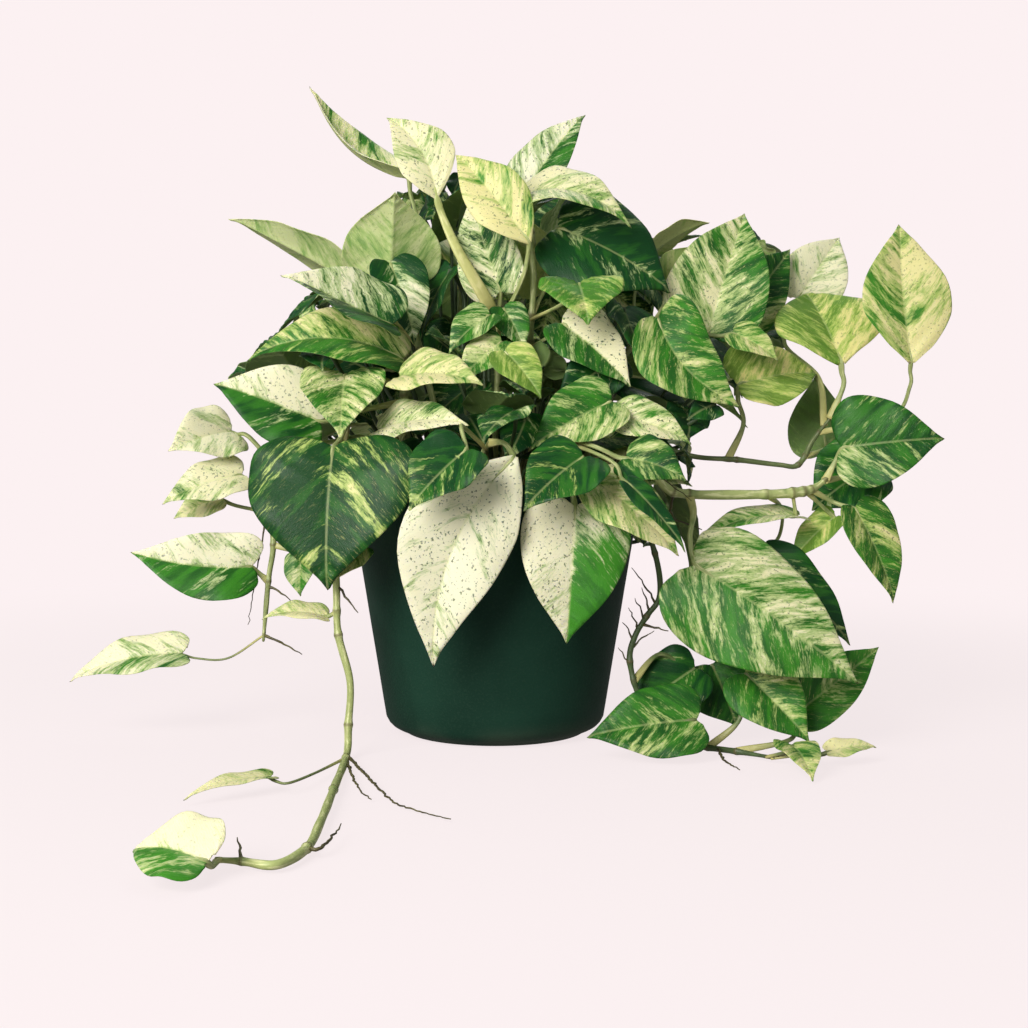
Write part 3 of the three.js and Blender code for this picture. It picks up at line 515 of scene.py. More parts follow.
class Gather:
    """Points, faces and point values of one piece, put together from closed shapes."""

    def __init__(self):
        self.points, self.faces, self.kinds = [], [], []
        self.values = {"place_mm": [], "place_share": [], "tone": []}
        self.count = 0
        self.leaves = []

    def add(self, points, faces, kind, place_mm, place_share, tone):
        """Adds a closed shape, its material's number and its point values."""
        self.points.append(points)
        self.faces += shifted(faces, self.count)
        self.kinds += [kind] * len(faces)
        for key, value in (("place_mm", place_mm), ("place_share", place_share), ("tone", tone)):
            self.values[key].append(np.broadcast_to(value, (len(points), len(value[0]))))
        self.count += len(points)

    def all_points(self):
        return np.vstack(self.points)

    def mesh(self, name, materials):
        """An object made of all the shapes."""
        points = self.all_points()
        points[:, 2] = np.maximum(points[:, 2], LEAST_HEIGHT)
        mesh = bpy.data.meshes.new(name)
        mesh.from_pydata((points * MM).tolist(), [], self.faces)
        for key, parts in self.values.items():
            values = np.vstack(parts)
            form, field = VALUE_FORMS[values.shape[1]]
            layer = mesh.attributes.new(key, form, "POINT")
            layer.data.foreach_set(field, values.astype(np.float32).ravel())
        for material in materials:
            mesh.materials.append(material)
        mesh.polygons.foreach_set("material_index", self.kinds)
        mesh.shade_smooth()
        mesh.update()
        return linked(name, mesh)


def tube_faces(rings, sides):
    """Faces of a run of rings, closed by a fan to one point at each end."""
    faces = []
    for ring in range(rings - 1):
        for side in range(sides):
            a, b = ring * sides + side, ring * sides + (side + 1) % sides
            faces.append([a, b, b + sides, a + sides])
    first, last = rings * sides, rings * sides + 1
    top = (rings - 1) * sides
    for side in range(sides):
        other = (side + 1) % sides
        faces.append([other, side, first])
        faces.append([top + side, top + other, last])
    return faces


def frames_along(points, up):
    """Unit tangents, and side and up axes carried smoothly along the points."""
    tangents = np.gradient(points, axis=0)
    tangents /= np.linalg.norm(tangents, axis=1)[:, None] + 1e-9
    ups = np.zeros_like(points)
    now = np.asarray(up, float)
    for index, tangent in enumerate(tangents):
        now = now - tangent * now.dot(tangent)
        size = np.linalg.norm(now)
        if size < 1e-3:
            now = np.cross(tangent, [1.0, 0.2, 0.1])
            size = np.linalg.norm(now)
        now = now / size
        ups[index] = now
    return tangents, np.cross(ups, tangents), ups


def add_tube(body, points, across, height, sides, tone, up=(0, 0, 1), marks=None, groove=0.0, seed=0):
    """A tube with its own half width and half height at each point.

    The groove is a dent along its upper side, and marks say where its nodes are.
    """
    tangents, side, ups = frames_along(points, up)
    angles = circle(sides)
    dent = 1 - groove * np.clip(np.sin(angles), 0, 1) ** 4
    ring_x = np.cos(angles)[None, :] * np.asarray(across)[:, None]
    ring_y = (np.sin(angles) * dent)[None, :] * np.asarray(height)[:, None]
    skin = points[:, None] + side[:, None] * ring_x[..., None] + ups[:, None] * ring_y[..., None]
    start = points[0] - tangents[0] * START_BULGE
    ends = np.vstack([start, points[-1] + tangents[-1] * END_BULGE * height[-1]])
    lengths = lengths_along(points)
    marks = np.zeros(len(points)) if marks is None else marks

    def spread(column):
        return np.concatenate([np.repeat(column, sides), column[[0, -1]]])

    turn = np.concatenate([np.tile(angles / (2 * np.pi), len(points)), [0, 0]])
    tone_rows = [np.full(len(points), value) if np.isscalar(value) else value for value in tone]
    body.add(
        np.vstack([skin.reshape(-1, 3), ends]),
        tube_faces(len(points), sides),
        STALK,
        np.column_stack([spread(lengths), turn, np.full(len(turn), seed)]),
        np.column_stack([spread(lengths / lengths[-1]), spread(marks), turn]),
        np.column_stack([spread(row) for row in tone_rows]),
    )


# ---- Leaf blades -------------------------------------------------------------------

VEINS = np.array([
    [0, -0.05, 0.2], [0.03, -0.07, 0.58], [0.1, 0.03, 0.9], [0.24, 0.21, 1],
    [0.42, 0.43, 0.92], [0.6, 0.64, 0.66], [0.78, 0.82, 0.31], [0.9, 0.92, 0.11], [1, 1, 0],
])
TAPERED_VEINS = np.array([
    [0, 0, 0.06], [0.07, 0.06, 0.3], [0.14, 0.13, 0.55], [0.25, 0.26, 0.85], [0.36, 0.38, 0.98],
    [0.55, 0.58, 0.87], [0.77, 0.8, 0.44], [0.9, 0.92, 0.15], [1, 1, 0],
])
WAVES_PER_BLADE = 1.7
ROWS_PER_VEIN = 4
HALF_COLUMNS = [0.045, 0.12, 0.24, 0.38, 0.52, 0.66, 0.79, 0.9, 0.97, 1]
COLUMNS = np.array([-share for share in reversed(HALF_COLUMNS)] + [0] + HALF_COLUMNS)
MIDDLE = len(HALF_COLUMNS)
SIDE_VEINS = 8
# Side veins run forward by this share of their reach, and curve forward by the next.
VEIN_SLOPE = 0.75
VEIN_CURVE = 0.3
HALF_THICKNESS = 0.25
# Relief as shares of the blade's width: halves that bulge, a margin that rolls down, and slow
# and fast ripples at the margin. The margin's roll varies between two factors.
BULGE, ROLL = 0.02, 0.02
ROLL_RANGE = (0.3, 1.4)
ROLL_START = 0.75
SLOW_RIPPLE, FAST_RIPPLE = 0.010, 0.005
SLOW_RATES, FAST_RATES = (2.4, 3.4), (4.2, 6.0)
# Quilting between the side veins, in millimetres at most, and the width that has 1 mm of it.
QUILT_MOST = 0.85
QUILT_WIDTH = 80
# The tip bends down over this last share of the blade, by this share of its length.
DRIP_START, DRIP = 0.82, 0.03
# The midrib is a channel above and a ridge below: its half width, its depth and its height.
RIB_HALF, RIB_CHANNEL, RIB_RIDGE = 1.1, 0.3, 0.9
# The rib fades by this share to the tip, and the blade thins by the next to its margin.
RIB_FADE, MARGIN_THIN = 0.85, 0.4
# The margin's wave on one half leads the other's by this many radians.
WAVE_LEAD = 2
# The two halves' widths differ by up to this share, and their greens meet over this share.
LEAN_MOST = 0.05
MEETING = 0.06
TIP_HALF = 0.1
# The place along a blade where its tone is as the table says, for one greener to its tip.
TONE_MIDDLE = 0.4
# How far apart the seeds of neighbouring blades lie in the marbling's space.
SEED_RANGE, SEED_STEP = 997, 7.3


def read_leaf(row):
    """A table row as a leaf, with its axes and its petiole's places in x, y and z."""
    at, base, tip, width, face, fold, arch, sway, wave, passes, *form = row
    root = place(base)
    along = place(tip) - root
    length = np.linalg.norm(along)
    along = along / length
    up = np.array([face[0], -face[2], face[1]], float)
    up -= along * up.dot(along)
    up /= np.linalg.norm(up)
    return {
        "at": at, "root": root, "along": along, "up": up, "side": np.cross(up, along),
        "length": length, "width": width, "fold": math.radians(fold), "arch": arch,
        "sway": sway, "wave": wave, "passes": [place(spot) for spot in passes],
        "veins": TAPERED_VEINS if form else VEINS,
    }


def blade_point(leaf, x, y, extra=0.0):
    """Points of the blade: x is the share of its length, y the signed share of half the width."""
    x, y = np.broadcast_arrays(np.asarray(x, float), np.asarray(y, float))
    bow = 4 * x * (1 - x) * leaf["length"]
    reach = y * leaf["width"] / 2
    ripple = leaf["wave"] * y * y * np.sin(
        2 * np.pi * WAVES_PER_BLADE * x + np.where(y > 0, 0, WAVE_LEAD))
    lift = np.abs(reach) * math.sin(leaf["fold"]) + leaf["arch"] * bow + ripple + extra
    return (
        leaf["root"] + x[..., None] * leaf["length"] * leaf["along"]
        + (reach * math.cos(leaf["fold"]) + leaf["sway"] * bow)[..., None] * leaf["side"]
        + lift[..., None] * leaf["up"]
    )


def vein_run(leaf, x, y):
    """Millimetres along the leaf, held constant along each side vein."""
    size = np.abs(y)
    return x * leaf["length"] - leaf["width"] / 2 * (VEIN_SLOPE * size + VEIN_CURVE * size ** 2)


def blade_relief(leaf, t, q, x, y, draw):
    """What a real blade adds to the plain fold: bulged halves, rolled margin, quilting, ripples.

    t is the share along the midrib, q the share across a half, and x and y the blade's own place.
    """
    width, size = leaf["width"], np.abs(q)
    bulge = BULGE * width * 4 * np.abs(y) * (1 - np.abs(y))
    rolled = np.clip((size - ROLL_START) / (1 - ROLL_START), 0, 1) ** 2
    roll = -ROLL * width * rolled * draw.uniform(*ROLL_RANGE)
    vein = vein_run(leaf, x, y) / leaf["length"]
    quilt = min(QUILT_MOST, width / QUILT_WIDTH) * np.sin(2 * np.pi * SIDE_VEINS * vein)
    phases = draw.uniform(0, 2 * np.pi, 4)
    lows, highs = zip(SLOW_RATES, SLOW_RATES, FAST_RATES, FAST_RATES)
    rates = draw.uniform(lows, highs)
    waves = [np.sin(2 * np.pi * rate * t + phase) for rate, phase in zip(rates, phases)]
    slow = np.where(q < 0, waves[0], waves[1])
    fast = np.where(q < 0, waves[2], waves[3])
    ripple = width * (SLOW_RIPPLE * slow * size ** 2 + FAST_RIPPLE * fast * size ** 4) * (1 - t)
    drip = -DRIP * leaf["length"] * np.clip((t - DRIP_START) / (1 - DRIP_START), 0, 1) ** 2
    return bulge + roll + quilt * 4 * size * (1 - size) + ripple + drip


def sheet_faces(rows, columns):
    """Faces of the upper sheet, its fan at the tip, and the loop of its rim."""
    faces = []
    for row in range(rows - 1):
        for column in range(columns - 1):
            a = row * columns + column
            faces.append([a, a + columns, a + columns + 1, a + 1])
    tip, last = rows * columns, (rows - 1) * columns
    faces += [[last + column, tip, last + column + 1] for column in range(columns - 1)]
    rim = list(range(columns))
    rim += [row * columns + columns - 1 for row in range(1, rows)] + [tip]
    rim += [row * columns for row in range(rows - 1, 0, -1)]
    return faces, rim


def halves_of(leaf, tone):
    """The green share at q below 0 and over 0, from the picture's left or upper half first."""
    side = leaf["side"]
    sense = side[2] if abs(side[2]) > abs(side[0]) else -side[0]
    return (tone[1], tone[0]) if sense > 0 else (tone[0], tone[1])


def upper_and_lower(sheet, tip, t, q, reach):
    """The blade's two sheets of points round its middle sheet, each with its tip at the end."""
    normals = np.cross(np.gradient(sheet, axis=0), np.gradient(sheet, axis=1))
    normals /= np.linalg.norm(normals, axis=2)[..., None] + 1e-9
    rib = np.exp(-(reach / RIB_HALF) ** 2) * (1 - RIB_FADE * t)
    thin = HALF_THICKNESS * (1 - MARGIN_THIN * np.abs(q) ** 6)
    upper = sheet + normals * (thin - RIB_CHANNEL * rib)[..., None]
    lower = sheet - normals * (thin + RIB_RIDGE * rib)[..., None]
    at_tip = normals[-1, MIDDLE] * TIP_HALF
    return np.vstack([upper.reshape(-1, 3), tip + at_tip, lower.reshape(-1, 3), tip - at_tip])


def closed_faces(rows, columns):
    """Faces of the upper sheet, the lower sheet and the rim between them."""
    faces, rim = sheet_faces(rows, columns)
    count = rows * columns + 1
    # The lower face starts at the same corner, so that both sheets split along the same diagonal.
    faces += shifted([(face[0], *face[:0:-1]) for face in faces], count)
    for start, stop in zip(rim, rim[1:] + rim[:1]):
        faces.append([start, stop, stop + count, start + count])
    return faces


def add_blade(body, leaf, tone, seed):
    """A blade in the body, with the point values that its marbling is worked out from."""
    body.leaves.append(leaf)
    draw = np.random.default_rng(seed)
    steps = (len(VEINS) - 1) * ROWS_PER_VEIN
    veins = curve_at(leaf.get("veins", VEINS), np.linspace(0, len(VEINS) - 1, steps + 1))[:-1]
    middle, edge, half = (veins[:, index][:, None] for index in range(3))
    half = np.clip(half, 0.01, None)
    q = np.broadcast_to(COLUMNS, (len(veins), len(COLUMNS)))
    lean = 1 + np.where(q > 0, 1, -1) * draw.uniform(-LEAN_MOST, LEAN_MOST)
    x = middle + (edge - middle) * np.abs(q)
    y = half * q * lean
    t = np.broadcast_to(middle, q.shape)
    sheet = blade_point(leaf, x, y, blade_relief(leaf, t, q, x, y, draw))
    tip = blade_point(leaf, 1.0, 0.0, -DRIP * leaf["length"])
    reach = y * leaf["width"] / 2
    first, second = halves_of(leaf, tone)
    from_rib = np.clip(np.abs(q) / MEETING, 0, 1)
    green = np.where(q < 0, first, second) * from_rib
    green = green + (first + second) / 2 * (1 - from_rib) + tone[5] * (t - TONE_MIDDLE)
    count = q.size + 1

    def pack(grid, end):
        column = np.concatenate([np.asarray(grid, float).ravel(), [end]])
        return np.concatenate([column, column])

    run = vein_run(leaf, x, y)
    flat = np.ones(2 * count)
    under = np.concatenate([np.zeros(count), np.ones(count)])
    place_mm = [pack(run, leaf["length"]), pack(reach, 0), flat * (seed % SEED_RANGE) * SEED_STEP]
    place_share = [pack(run / leaf["length"], 1), pack(q, 0), under]
    tones = [pack(green, green[-1].mean()), flat * tone[2], flat * tone[3], flat * tone[4]]
    body.add(
        upper_and_lower(sheet, tip, t, q, reach), closed_faces(*q.shape), BLADE,
        *(np.column_stack(columns) for columns in (place_mm, place_share, tones)))


# ---- Stems, petioles and roots -----------------------------------------------------

SOIL_TOP = 134
SOIL_CROWN = 3
STEM_DEPTH = 13
STRAIGHT_PLACES = 3
STEM_RADIUS = 2.3
STEM_SIDES = 14
PETIOLE_SIDES = 10
END_INSET = 0.1
NECK_SHARE = 0.3
NECK_SAG = 0.12
# How far up a petiole its sheath reaches, as a share: the usual one, and one over this spread.
SHEATH_USUAL, SHEATH_BROAD = 0.42, 1.0
BROAD_SPREAD = 1
# A stem's nodes: half their length in millimetres, and how much they swell. Its end narrows
# over TAPER_LENGTH, down to TAPER_LEAST.
NODE_HALF, NODE_SWELL = 1.8, 0.28
TAPER_LENGTH, TAPER_LEAST = 40, 0.45
GIRTH_ELSE = 0.9
# Its girth wavers by this share, a radian in this many millimetres.
WAVER, WAVER_LENGTH = 0.05, 7
# Seeds: so many for each vine, then where its stem, leaves, roots and rootlets start, and the
# step from leaf to leaf.
VINE_SEEDS, STEM_SEED, LEAF_SEED, ROOT_SEED, ROOTLET_SEED = 100, 3, 11, 71, 81
LEAF_SEED_STEP = 5
# A petiole's radius, the knuckle under its blade, and its radius at its end inside the rib.
PETIOLE_RADIUS, KNUCKLE_SWELL, RIB_END = 1.5, 0.35, 0.35
KNUCKLE_HALF, KNUCKLE_PLACE = 4, 2
PETIOLE_GROOVE, STEM_GROOVE = 0.35, 0.12
# A petiole's girth: its least share, and the blade's width that would add 1 to it. It is 1 at
# most.
PETIOLE_LEAST, PETIOLE_WIDTH = 0.62, 160
# It enters the blade at this share, this deep, and runs on under the rib at these shares.
ENTRY_SHARE, ENTRY_DEPTH = 0.02, 0.5
RIB_SHARES, RIB_DEPTH = (0.1, 0.2), 0.7
# The knuckle's number, counted back from the end of the petiole's places.
KNUCKLE_BACK = 3.15
# Millimetres between a run's rings.
STEM_STEP, PETIOLE_STEP, ROOT_STEP = 2.2, 2.0, 2.5
ROOT_SIDES = 8
ROOT_WANDER = 0.35
ROOT_TAPER = 0.72
ROOT_THICK, ROOTLET_THICK = 0.95, 0.7
ROOT_KNOTS = 0.1
ROOT_TONE = [0.7, 1.0, 0.0, 1]
# A rootlet bows up by this many millimetres.
ROOTLET_BOW = 1.5


def stem_points(vine):
    """The stem's places: three straight ones out of the soil, then the table's."""
    x, y = vine["foot"]
    heights = [SOIL_TOP - STEM_DEPTH, SOIL_TOP, SOIL_TOP + SOIL_CROWN + 2]
    return [np.array([x, y, height], float) for height in heights] + [
        place(spot) for spot in vine["stem"]]


def stem_at(vine, at):
    """The stem's point at a number along the table's places."""
    return curve_at(stem_points(vine), at + STRAIGHT_PLACES)[0]


def add_stem(body, vine, dark, seed):
    """The main stem, swollen and ringed at its nodes, with a taper at its growing end."""
    draw = np.random.default_rng(seed)
    places = stem_points(vine)
    numbers = curve_run(places, STEM_STEP)
    points = curve_at(places, numbers)
    lengths = lengths_along(points)
    nodes = [min(row[0], len(vine["stem"]) - 1 - END_INSET) for row in vine["leaves"]]
    nodes += range(1, len(vine["stem"]) - 1, 2)
    marks = np.zeros(len(points))
    for node in nodes:
        middle = np.interp(node + STRAIGHT_PLACES, numbers, lengths)
        marks = np.maximum(marks, np.exp(-((lengths - middle) / NODE_HALF) ** 2))
    taper = np.clip(TAPER_LEAST + (lengths[-1] - lengths) / TAPER_LENGTH, 0, 1)
    waver = 1 + WAVER * np.sin(lengths / WAVER_LENGTH + draw.uniform(0, 6))
    girth = STEM_RADIUS * STEM_GIRTH.get(vine["name"], GIRTH_ELSE)
    radius = girth * taper * waver * (1 + NODE_SWELL * marks)
    tone = [dark, 0, 0, 1]
    add_tube(body, points, radius, radius, STEM_SIDES, tone, marks=marks, groove=STEM_GROOVE, seed=seed)


def add_petiole(body, vine, leaf, dark, seed, kind=PETIOLE_USUAL):
    """A petiole: sheathed and broad where it leaves the stem, knuckled where the blade begins."""
    start = leaf.get("foot")
    if start is None:
        start = stem_at(vine, min(leaf["at"], len(vine["stem"]) - 1 - END_INSET))
    before = leaf["passes"][-1] if leaf["passes"] else start
    base = blade_point(leaf, 0.0, 0.0)
    reach = np.linalg.norm(base - before)
    neck = base + (before - base) * NECK_SHARE - leaf["up"] * NECK_SAG * reach
    end = blade_point(leaf, ENTRY_SHARE, 0.0) - leaf["up"] * ENTRY_DEPTH
    rib = [blade_point(leaf, share, 0.0) - leaf["up"] * RIB_DEPTH for share in RIB_SHARES]
    places = [start, *leaf["passes"], neck, end, *rib]
    numbers = curve_run(places, PETIOLE_STEP)
    points = curve_at(places, numbers)
    knuckle = np.interp(len(places) - KNUCKLE_BACK, numbers, np.arange(len(numbers)))
    lengths = lengths_along(points)
    at_end = np.interp(knuckle, np.arange(len(numbers)), lengths)
    share = np.clip(lengths / at_end, 0, None)
    girth, spread, darker = kind
    size = girth * min(1.0, PETIOLE_LEAST + leaf["width"] / PETIOLE_WIDTH)
    sheath_share = SHEATH_BROAD if spread > BROAD_SPREAD else SHEATH_USUAL
    sheath = np.clip(1 - share / sheath_share, 0, 1) ** 0.7
    swell = np.exp(-((lengths - at_end + KNUCKLE_PLACE) / KNUCKLE_HALF) ** 2)
    fade = np.clip((lengths[-1] - lengths) / (lengths[-1] - at_end + 1e-6), 0, 1)
    narrowing = np.where(lengths > at_end, RIB_END + (1 - RIB_END) * fade, 1)
    radius = size * (PETIOLE_RADIUS + KNUCKLE_SWELL * swell) * narrowing
    across = radius * (1 + spread * sheath)
    tone = [dark + darker, 0.0, sheath, 1]
    add_tube(
        body, points, across, radius, PETIOLE_SIDES, tone, leaf["up"], groove=PETIOLE_GROOVE, seed=seed)


def add_root(body, points, thick, seed):
    """A thin root that wanders a little and narrows to its end."""
    run = curve_at(points, curve_run(points, ROOT_STEP))
    draw = np.random.default_rng(seed)
    share = np.linspace(0, 1, len(run))
    wander = draw.normal(0, ROOT_WANDER, (len(run), 3)) * np.clip(share * 4, 0, 1)[:, None]
    wander[:, 2] = np.abs(wander[:, 2]) * 0.5
    knots = 1 + ROOT_KNOTS * np.sin(np.arange(len(run)) * 1.7)
    radius = thick * (1 - ROOT_TAPER * share) * knots
    add_tube(body, run + wander, radius, radius, ROOT_SIDES, ROOT_TONE, seed=seed)


def vine_piece(vine, index, materials):
    """One vine's stem, petioles, blades and roots as a piece. Each shape has a seed of its own."""
    body = Gather()
    first = index * VINE_SEEDS
    stem_dark, petiole_dark = STEM_DARK.get(vine["name"], STEM_DARK_ELSE)
    add_stem(body, vine, stem_dark, first + STEM_SEED)
    for number, (row, tone) in enumerate(zip(vine["leaves"], tones_of(vine))):
        leaf = read_leaf(row)
        seed = first + number * LEAF_SEED_STEP + LEAF_SEED
        kind = PETIOLE_KINDS.get((vine["name"], number + 1), PETIOLE_USUAL)
        add_petiole(body, vine, leaf, petiole_dark, seed, kind)
        add_blade(body, leaf, tone, seed)
    for number, (at, passes) in enumerate(vine.get("roots", [])):
        points = [stem_at(vine, at)] + [place(spot) for spot in passes]
        add_root(body, points, ROOT_THICK, first + number + ROOT_SEED)
    for number, (at, end) in enumerate(ROOTLETS.get(vine["name"], [])):
        start, stop = stem_at(vine, at), place(end)
        bend = (start + stop) / 2 + [0, 0, ROOTLET_BOW]
        add_root(body, [start, bend, stop], ROOTLET_THICK, first + number + ROOTLET_SEED)
    piece = body.mesh(vine["name"].replace("vine", "pothos"), materials)
    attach(piece, "root")
    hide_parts(vine["name"])
    return body


# ---- Inner leaves ------------------------------------------------------------------

# The crown's inner leaves stand on long petioles from the soil, where the vines leave room.
# The first, of the darkest green, fill its hollows as painted shade; the next go where the crown,
# seen from the front, would show the sky through it, and the last go anywhere in it.
INNER_SEED = 77
GAP_SEED, ROOM_SEED = INNER_SEED * 100, INNER_SEED * 200
INNER_MOST = 230
# How far blades and petioles stay from everything else, in millimetres.
INNER_CLEAR = 2.2
PETIOLE_CLEAR = 2.0
# How close together a blade's points are when it looks for room, and when it covers cells.
PROBE_STEP = 4.0
COVER_STEP = 0.9
# The least share of a blade inside the crown's outline, and how far back it may reach.
INSIDE_LEAST = 0.97
BACK_MOST = 146
# The vines seen from the front come first in their list.
FRONT_VINES = 12
# The view's cells: their size, the first one's picture place, and how many there are.
CELL = 1.2
VIEW_LOW = (-180, 96)
VIEW_CELLS = (316, 208)
# The hollows' leaves, painted shade: picture place, length, and how near the eye the tries for room start.
# The last try lies SHADE_DEPTH further back.
SHADE_LEAVES = [
    [2, 192, 58, 60], [18, 200, 44, 40], [-12, 180, 40, 50], [-34, 256, 50, 40], [-101, 222, 40, 60],
    [57, 212, 46, 50], [82, 238, 44, 50], [-60, 236, 40, 40], [30, 226, 40, 40],
]
SHADE_TRIES = 260
SHADE_DEPTH = 130
# The searches for gaps: tries, least and most length, range of how near the eye, the most
# that may stand before a front leaf, and the fewest cells of sky to close.
GAP_SEARCHES = [
    [2600, 48, 82, -132, -10, 0.03, 34], [3600, 30, 58, -125, 40, 0.05, 12],
    [7000, 17, 36, -130, 50, 0.12, 4],
]
# The tries anywhere in the crown, and the lengths of their leaves.
ROOM_TRIES = 900
ROOM_LENGTHS = (30, 66)
# The most of a leaf that may stand before a front leaf: anywhere, and in the hollows.
ROOM_HIDDEN = 0.04
SHADE_HIDDEN = 0.05
# How far from the pot's axis inner leaves may lie, by height.
INNER_HEIGHTS = [150, 180, 215, 250, 285, 312]
INNER_REACH = [70, 92, 92, 82, 62, 40]
# They face away from this y, and swing, pitch, widen, fold and bend within these ranges.
FACE_FROM = 110
INNER_SWING = 40
INNER_PITCH = (-75, 25)
INNER_WIDTH = (0.7, 0.88)
INNER_FOLD = (8, 16)
INNER_ARCH = (0.03, 0.08)
INNER_SWAY = (-0.05, 0.05)
INNER_WAVE = 2
# How far out in the crown they lie, as shares of its area.
AREA_SHARES = (0.02, 1)
# Their petioles start no further out than this, and bend over at these shares of the way.
FOOT_RADIUS = 66
FOOT_SHARE = 0.5
RISE_OUT, RISE_UP = 0.75, 0.6
# Inner petioles are near the darkest stalk green, as painted shade inside the crown.
INNER_DARK = 0.95
# The share of a leaf that lies before its given place, and how its face looks: out from the
# pot within a range, up, and off by chance.
PLACE_SHARE = 0.42
FACE_OUT = (0.4, 1.0)
FACE_UP, FACE_LOOSE = 0.7, 0.2
# Numbers along an inner petiole's curve, first, last and how many, where it needs room.
STALK_PROBE = (0.3, 1.9, 24)
# A blade's outline, as shares of its length and half width, for the probes.
PROBE_RUN = (-0.04, 0.97)
PROBE_SHAPE = ([-0.04, 0, 0.06, 0.24, 0.5, 0.8, 1], [0.4, 0.6, 0.85, 1, 0.85, 0.35, 0])
# The inner leaves' greens: dark, partly as old shaded leaves are, and partly as painted shade.
INNER_TONES = [
    [0.97, 0.97, 0.2, 1.0, 0.2, 0], [0.95, 0.9, 0.3, 0.95, 0.3, 0], [0.85, 0.9, 0.4, 0.85, 0.4, 0],
    [0.75, 0.6, 0.5, 0.8, 0.5, 0],
]
# The hollows' leaves: the darkest green with almost no fleck, as painted shade.
PAINTED_SHADE_TONE = [1.0, 1.0, 0.1, 1.0, 0.1, 0]
CROWN_OUTLINE = np.array([
    [-92, 292], [-66, 318], [-24, 334], [30, 334], [62, 322], [92, 292], [124, 300], [150, 308],
    [176, 286], [182, 240], [150, 198], [120, 174], [116, 116], [88, 106], [40, 150], [-56, 152],
    [-70, 172], [-140, 180], [-166, 206], [-140, 232], [-116, 256],
])


def inside_crown(across, up):
    """Whether picture places lie inside the crown's outline."""
    inside = np.zeros(np.shape(across), bool)
    for (x1, y1), (x2, y2) in zip(CROWN_OUTLINE, np.roll(CROWN_OUTLINE, -1, axis=0)):
        crosses = (y1 > up) != (y2 > up)
        inside ^= crosses & (across < (x2 - x1) * (up - y1) / (y2 - y1 + 1e-9) + x1)
    return inside


def seen_at(points):
    """Picture places (across, up) of points."""
    shrink = EYE_DISTANCE / (EYE_DISTANCE + points[:, 1])
    return points[:, 0] * shrink, EYE_HEIGHT + (points[:, 2] - EYE_HEIGHT) * shrink


def cell_middle(column, row):
    """The picture place of a cell's middle."""
    return VIEW_LOW[0] + (column + 0.5) * CELL, VIEW_LOW[1] + (row + 0.5) * CELL


def cells_of(points):
    """The view's cells that points lie in, by column and row, and how deep the points are."""
    across, up = seen_at(points)
    columns = ((across - VIEW_LOW[0]) // CELL).astype(int)
    rows = ((up - VIEW_LOW[1]) // CELL).astype(int)
    known = (columns >= 0) & (columns < VIEW_CELLS[0]) & (rows >= 0) & (rows < VIEW_CELLS[1])
    return columns[known], rows[known], points[known, 1]


def blade_probe(leaf, step):
    """A grid of the blade's points, about one every step millimetres."""
    rows = max(9, int(leaf["length"] / step))
    columns = max(11, 2 * int(leaf["width"] / step / 2) + 1)
    x, y = np.meshgrid(np.linspace(*PROBE_RUN, rows), np.linspace(-1, 1, columns), indexing="ij")
    return blade_point(leaf, x, y * np.interp(x, *PROBE_SHAPE)).reshape(-1, 3)


def nearest_depths(leaves):
    """The least y of the leaves at each cell of the view, or infinity where there are none."""
    depths = np.full(VIEW_CELLS, np.inf)
    for leaf in leaves:
        columns, rows, depth = cells_of(blade_probe(leaf, COVER_STEP))
        np.minimum.at(depths, (columns, rows), depth)
    return depths


def inner_row(draw, middle, length):
    """A leaf at a place, or at a random one in the crown, facing up and out and hanging a little."""
    if middle is not None:
        bearing = math.atan2(middle[1] - FACE_FROM, middle[0])
    else:
        height = draw.uniform(INNER_HEIGHTS[0], INNER_HEIGHTS[-1])
        most = np.interp(height, INNER_HEIGHTS, INNER_REACH)
        bearing = draw.uniform(0, 2 * math.pi)
        radius = most * math.sqrt(draw.uniform(*AREA_SHARES))
        middle = np.array([math.cos(bearing) * radius, math.sin(bearing) * radius, height])
    out = np.array([math.cos(bearing), math.sin(bearing), 0])
    pitch = math.radians(draw.uniform(*INNER_PITCH))
    swing = bearing + math.radians(draw.normal(0, INNER_SWING))
    along = np.array([
        math.cos(swing) * math.cos(pitch), math.sin(swing) * math.cos(pitch), math.sin(pitch)])
    base = middle - along * length * PLACE_SHARE
    up = out * draw.uniform(*FACE_OUT) + [0, 0, FACE_UP] + draw.normal(0, FACE_LOOSE, 3)
    up = up - along * up.dot(along)
    up /= np.linalg.norm(up)
    share = min(FOOT_SHARE, FOOT_RADIUS / (math.hypot(base[0], base[1]) + 1))
    foot = np.array([base[0] * share, base[1] * share, SOIL_TOP])
    rise = np.array([base[0] * RISE_OUT, base[1] * RISE_OUT, SOIL_TOP + RISE_UP * (base[2] - SOIL_TOP)])
    return {
        "at": 0, "root": base, "along": along, "up": up, "side": np.cross(up, along),
        "length": length, "width": length * draw.uniform(*INNER_WIDTH),
        "fold": math.radians(draw.uniform(*INNER_FOLD)), "arch": draw.uniform(*INNER_ARCH),
        "sway": draw.uniform(*INNER_SWAY), "wave": INNER_WAVE, "passes": [rise], "foot": foot,
    }


def tree_of(points):
    """Points in a tree that finds the nearest one."""
    tree = KDTree(len(points))
    for index, point in enumerate(points):
        tree.insert(point, index)
    tree.balance()
    return tree


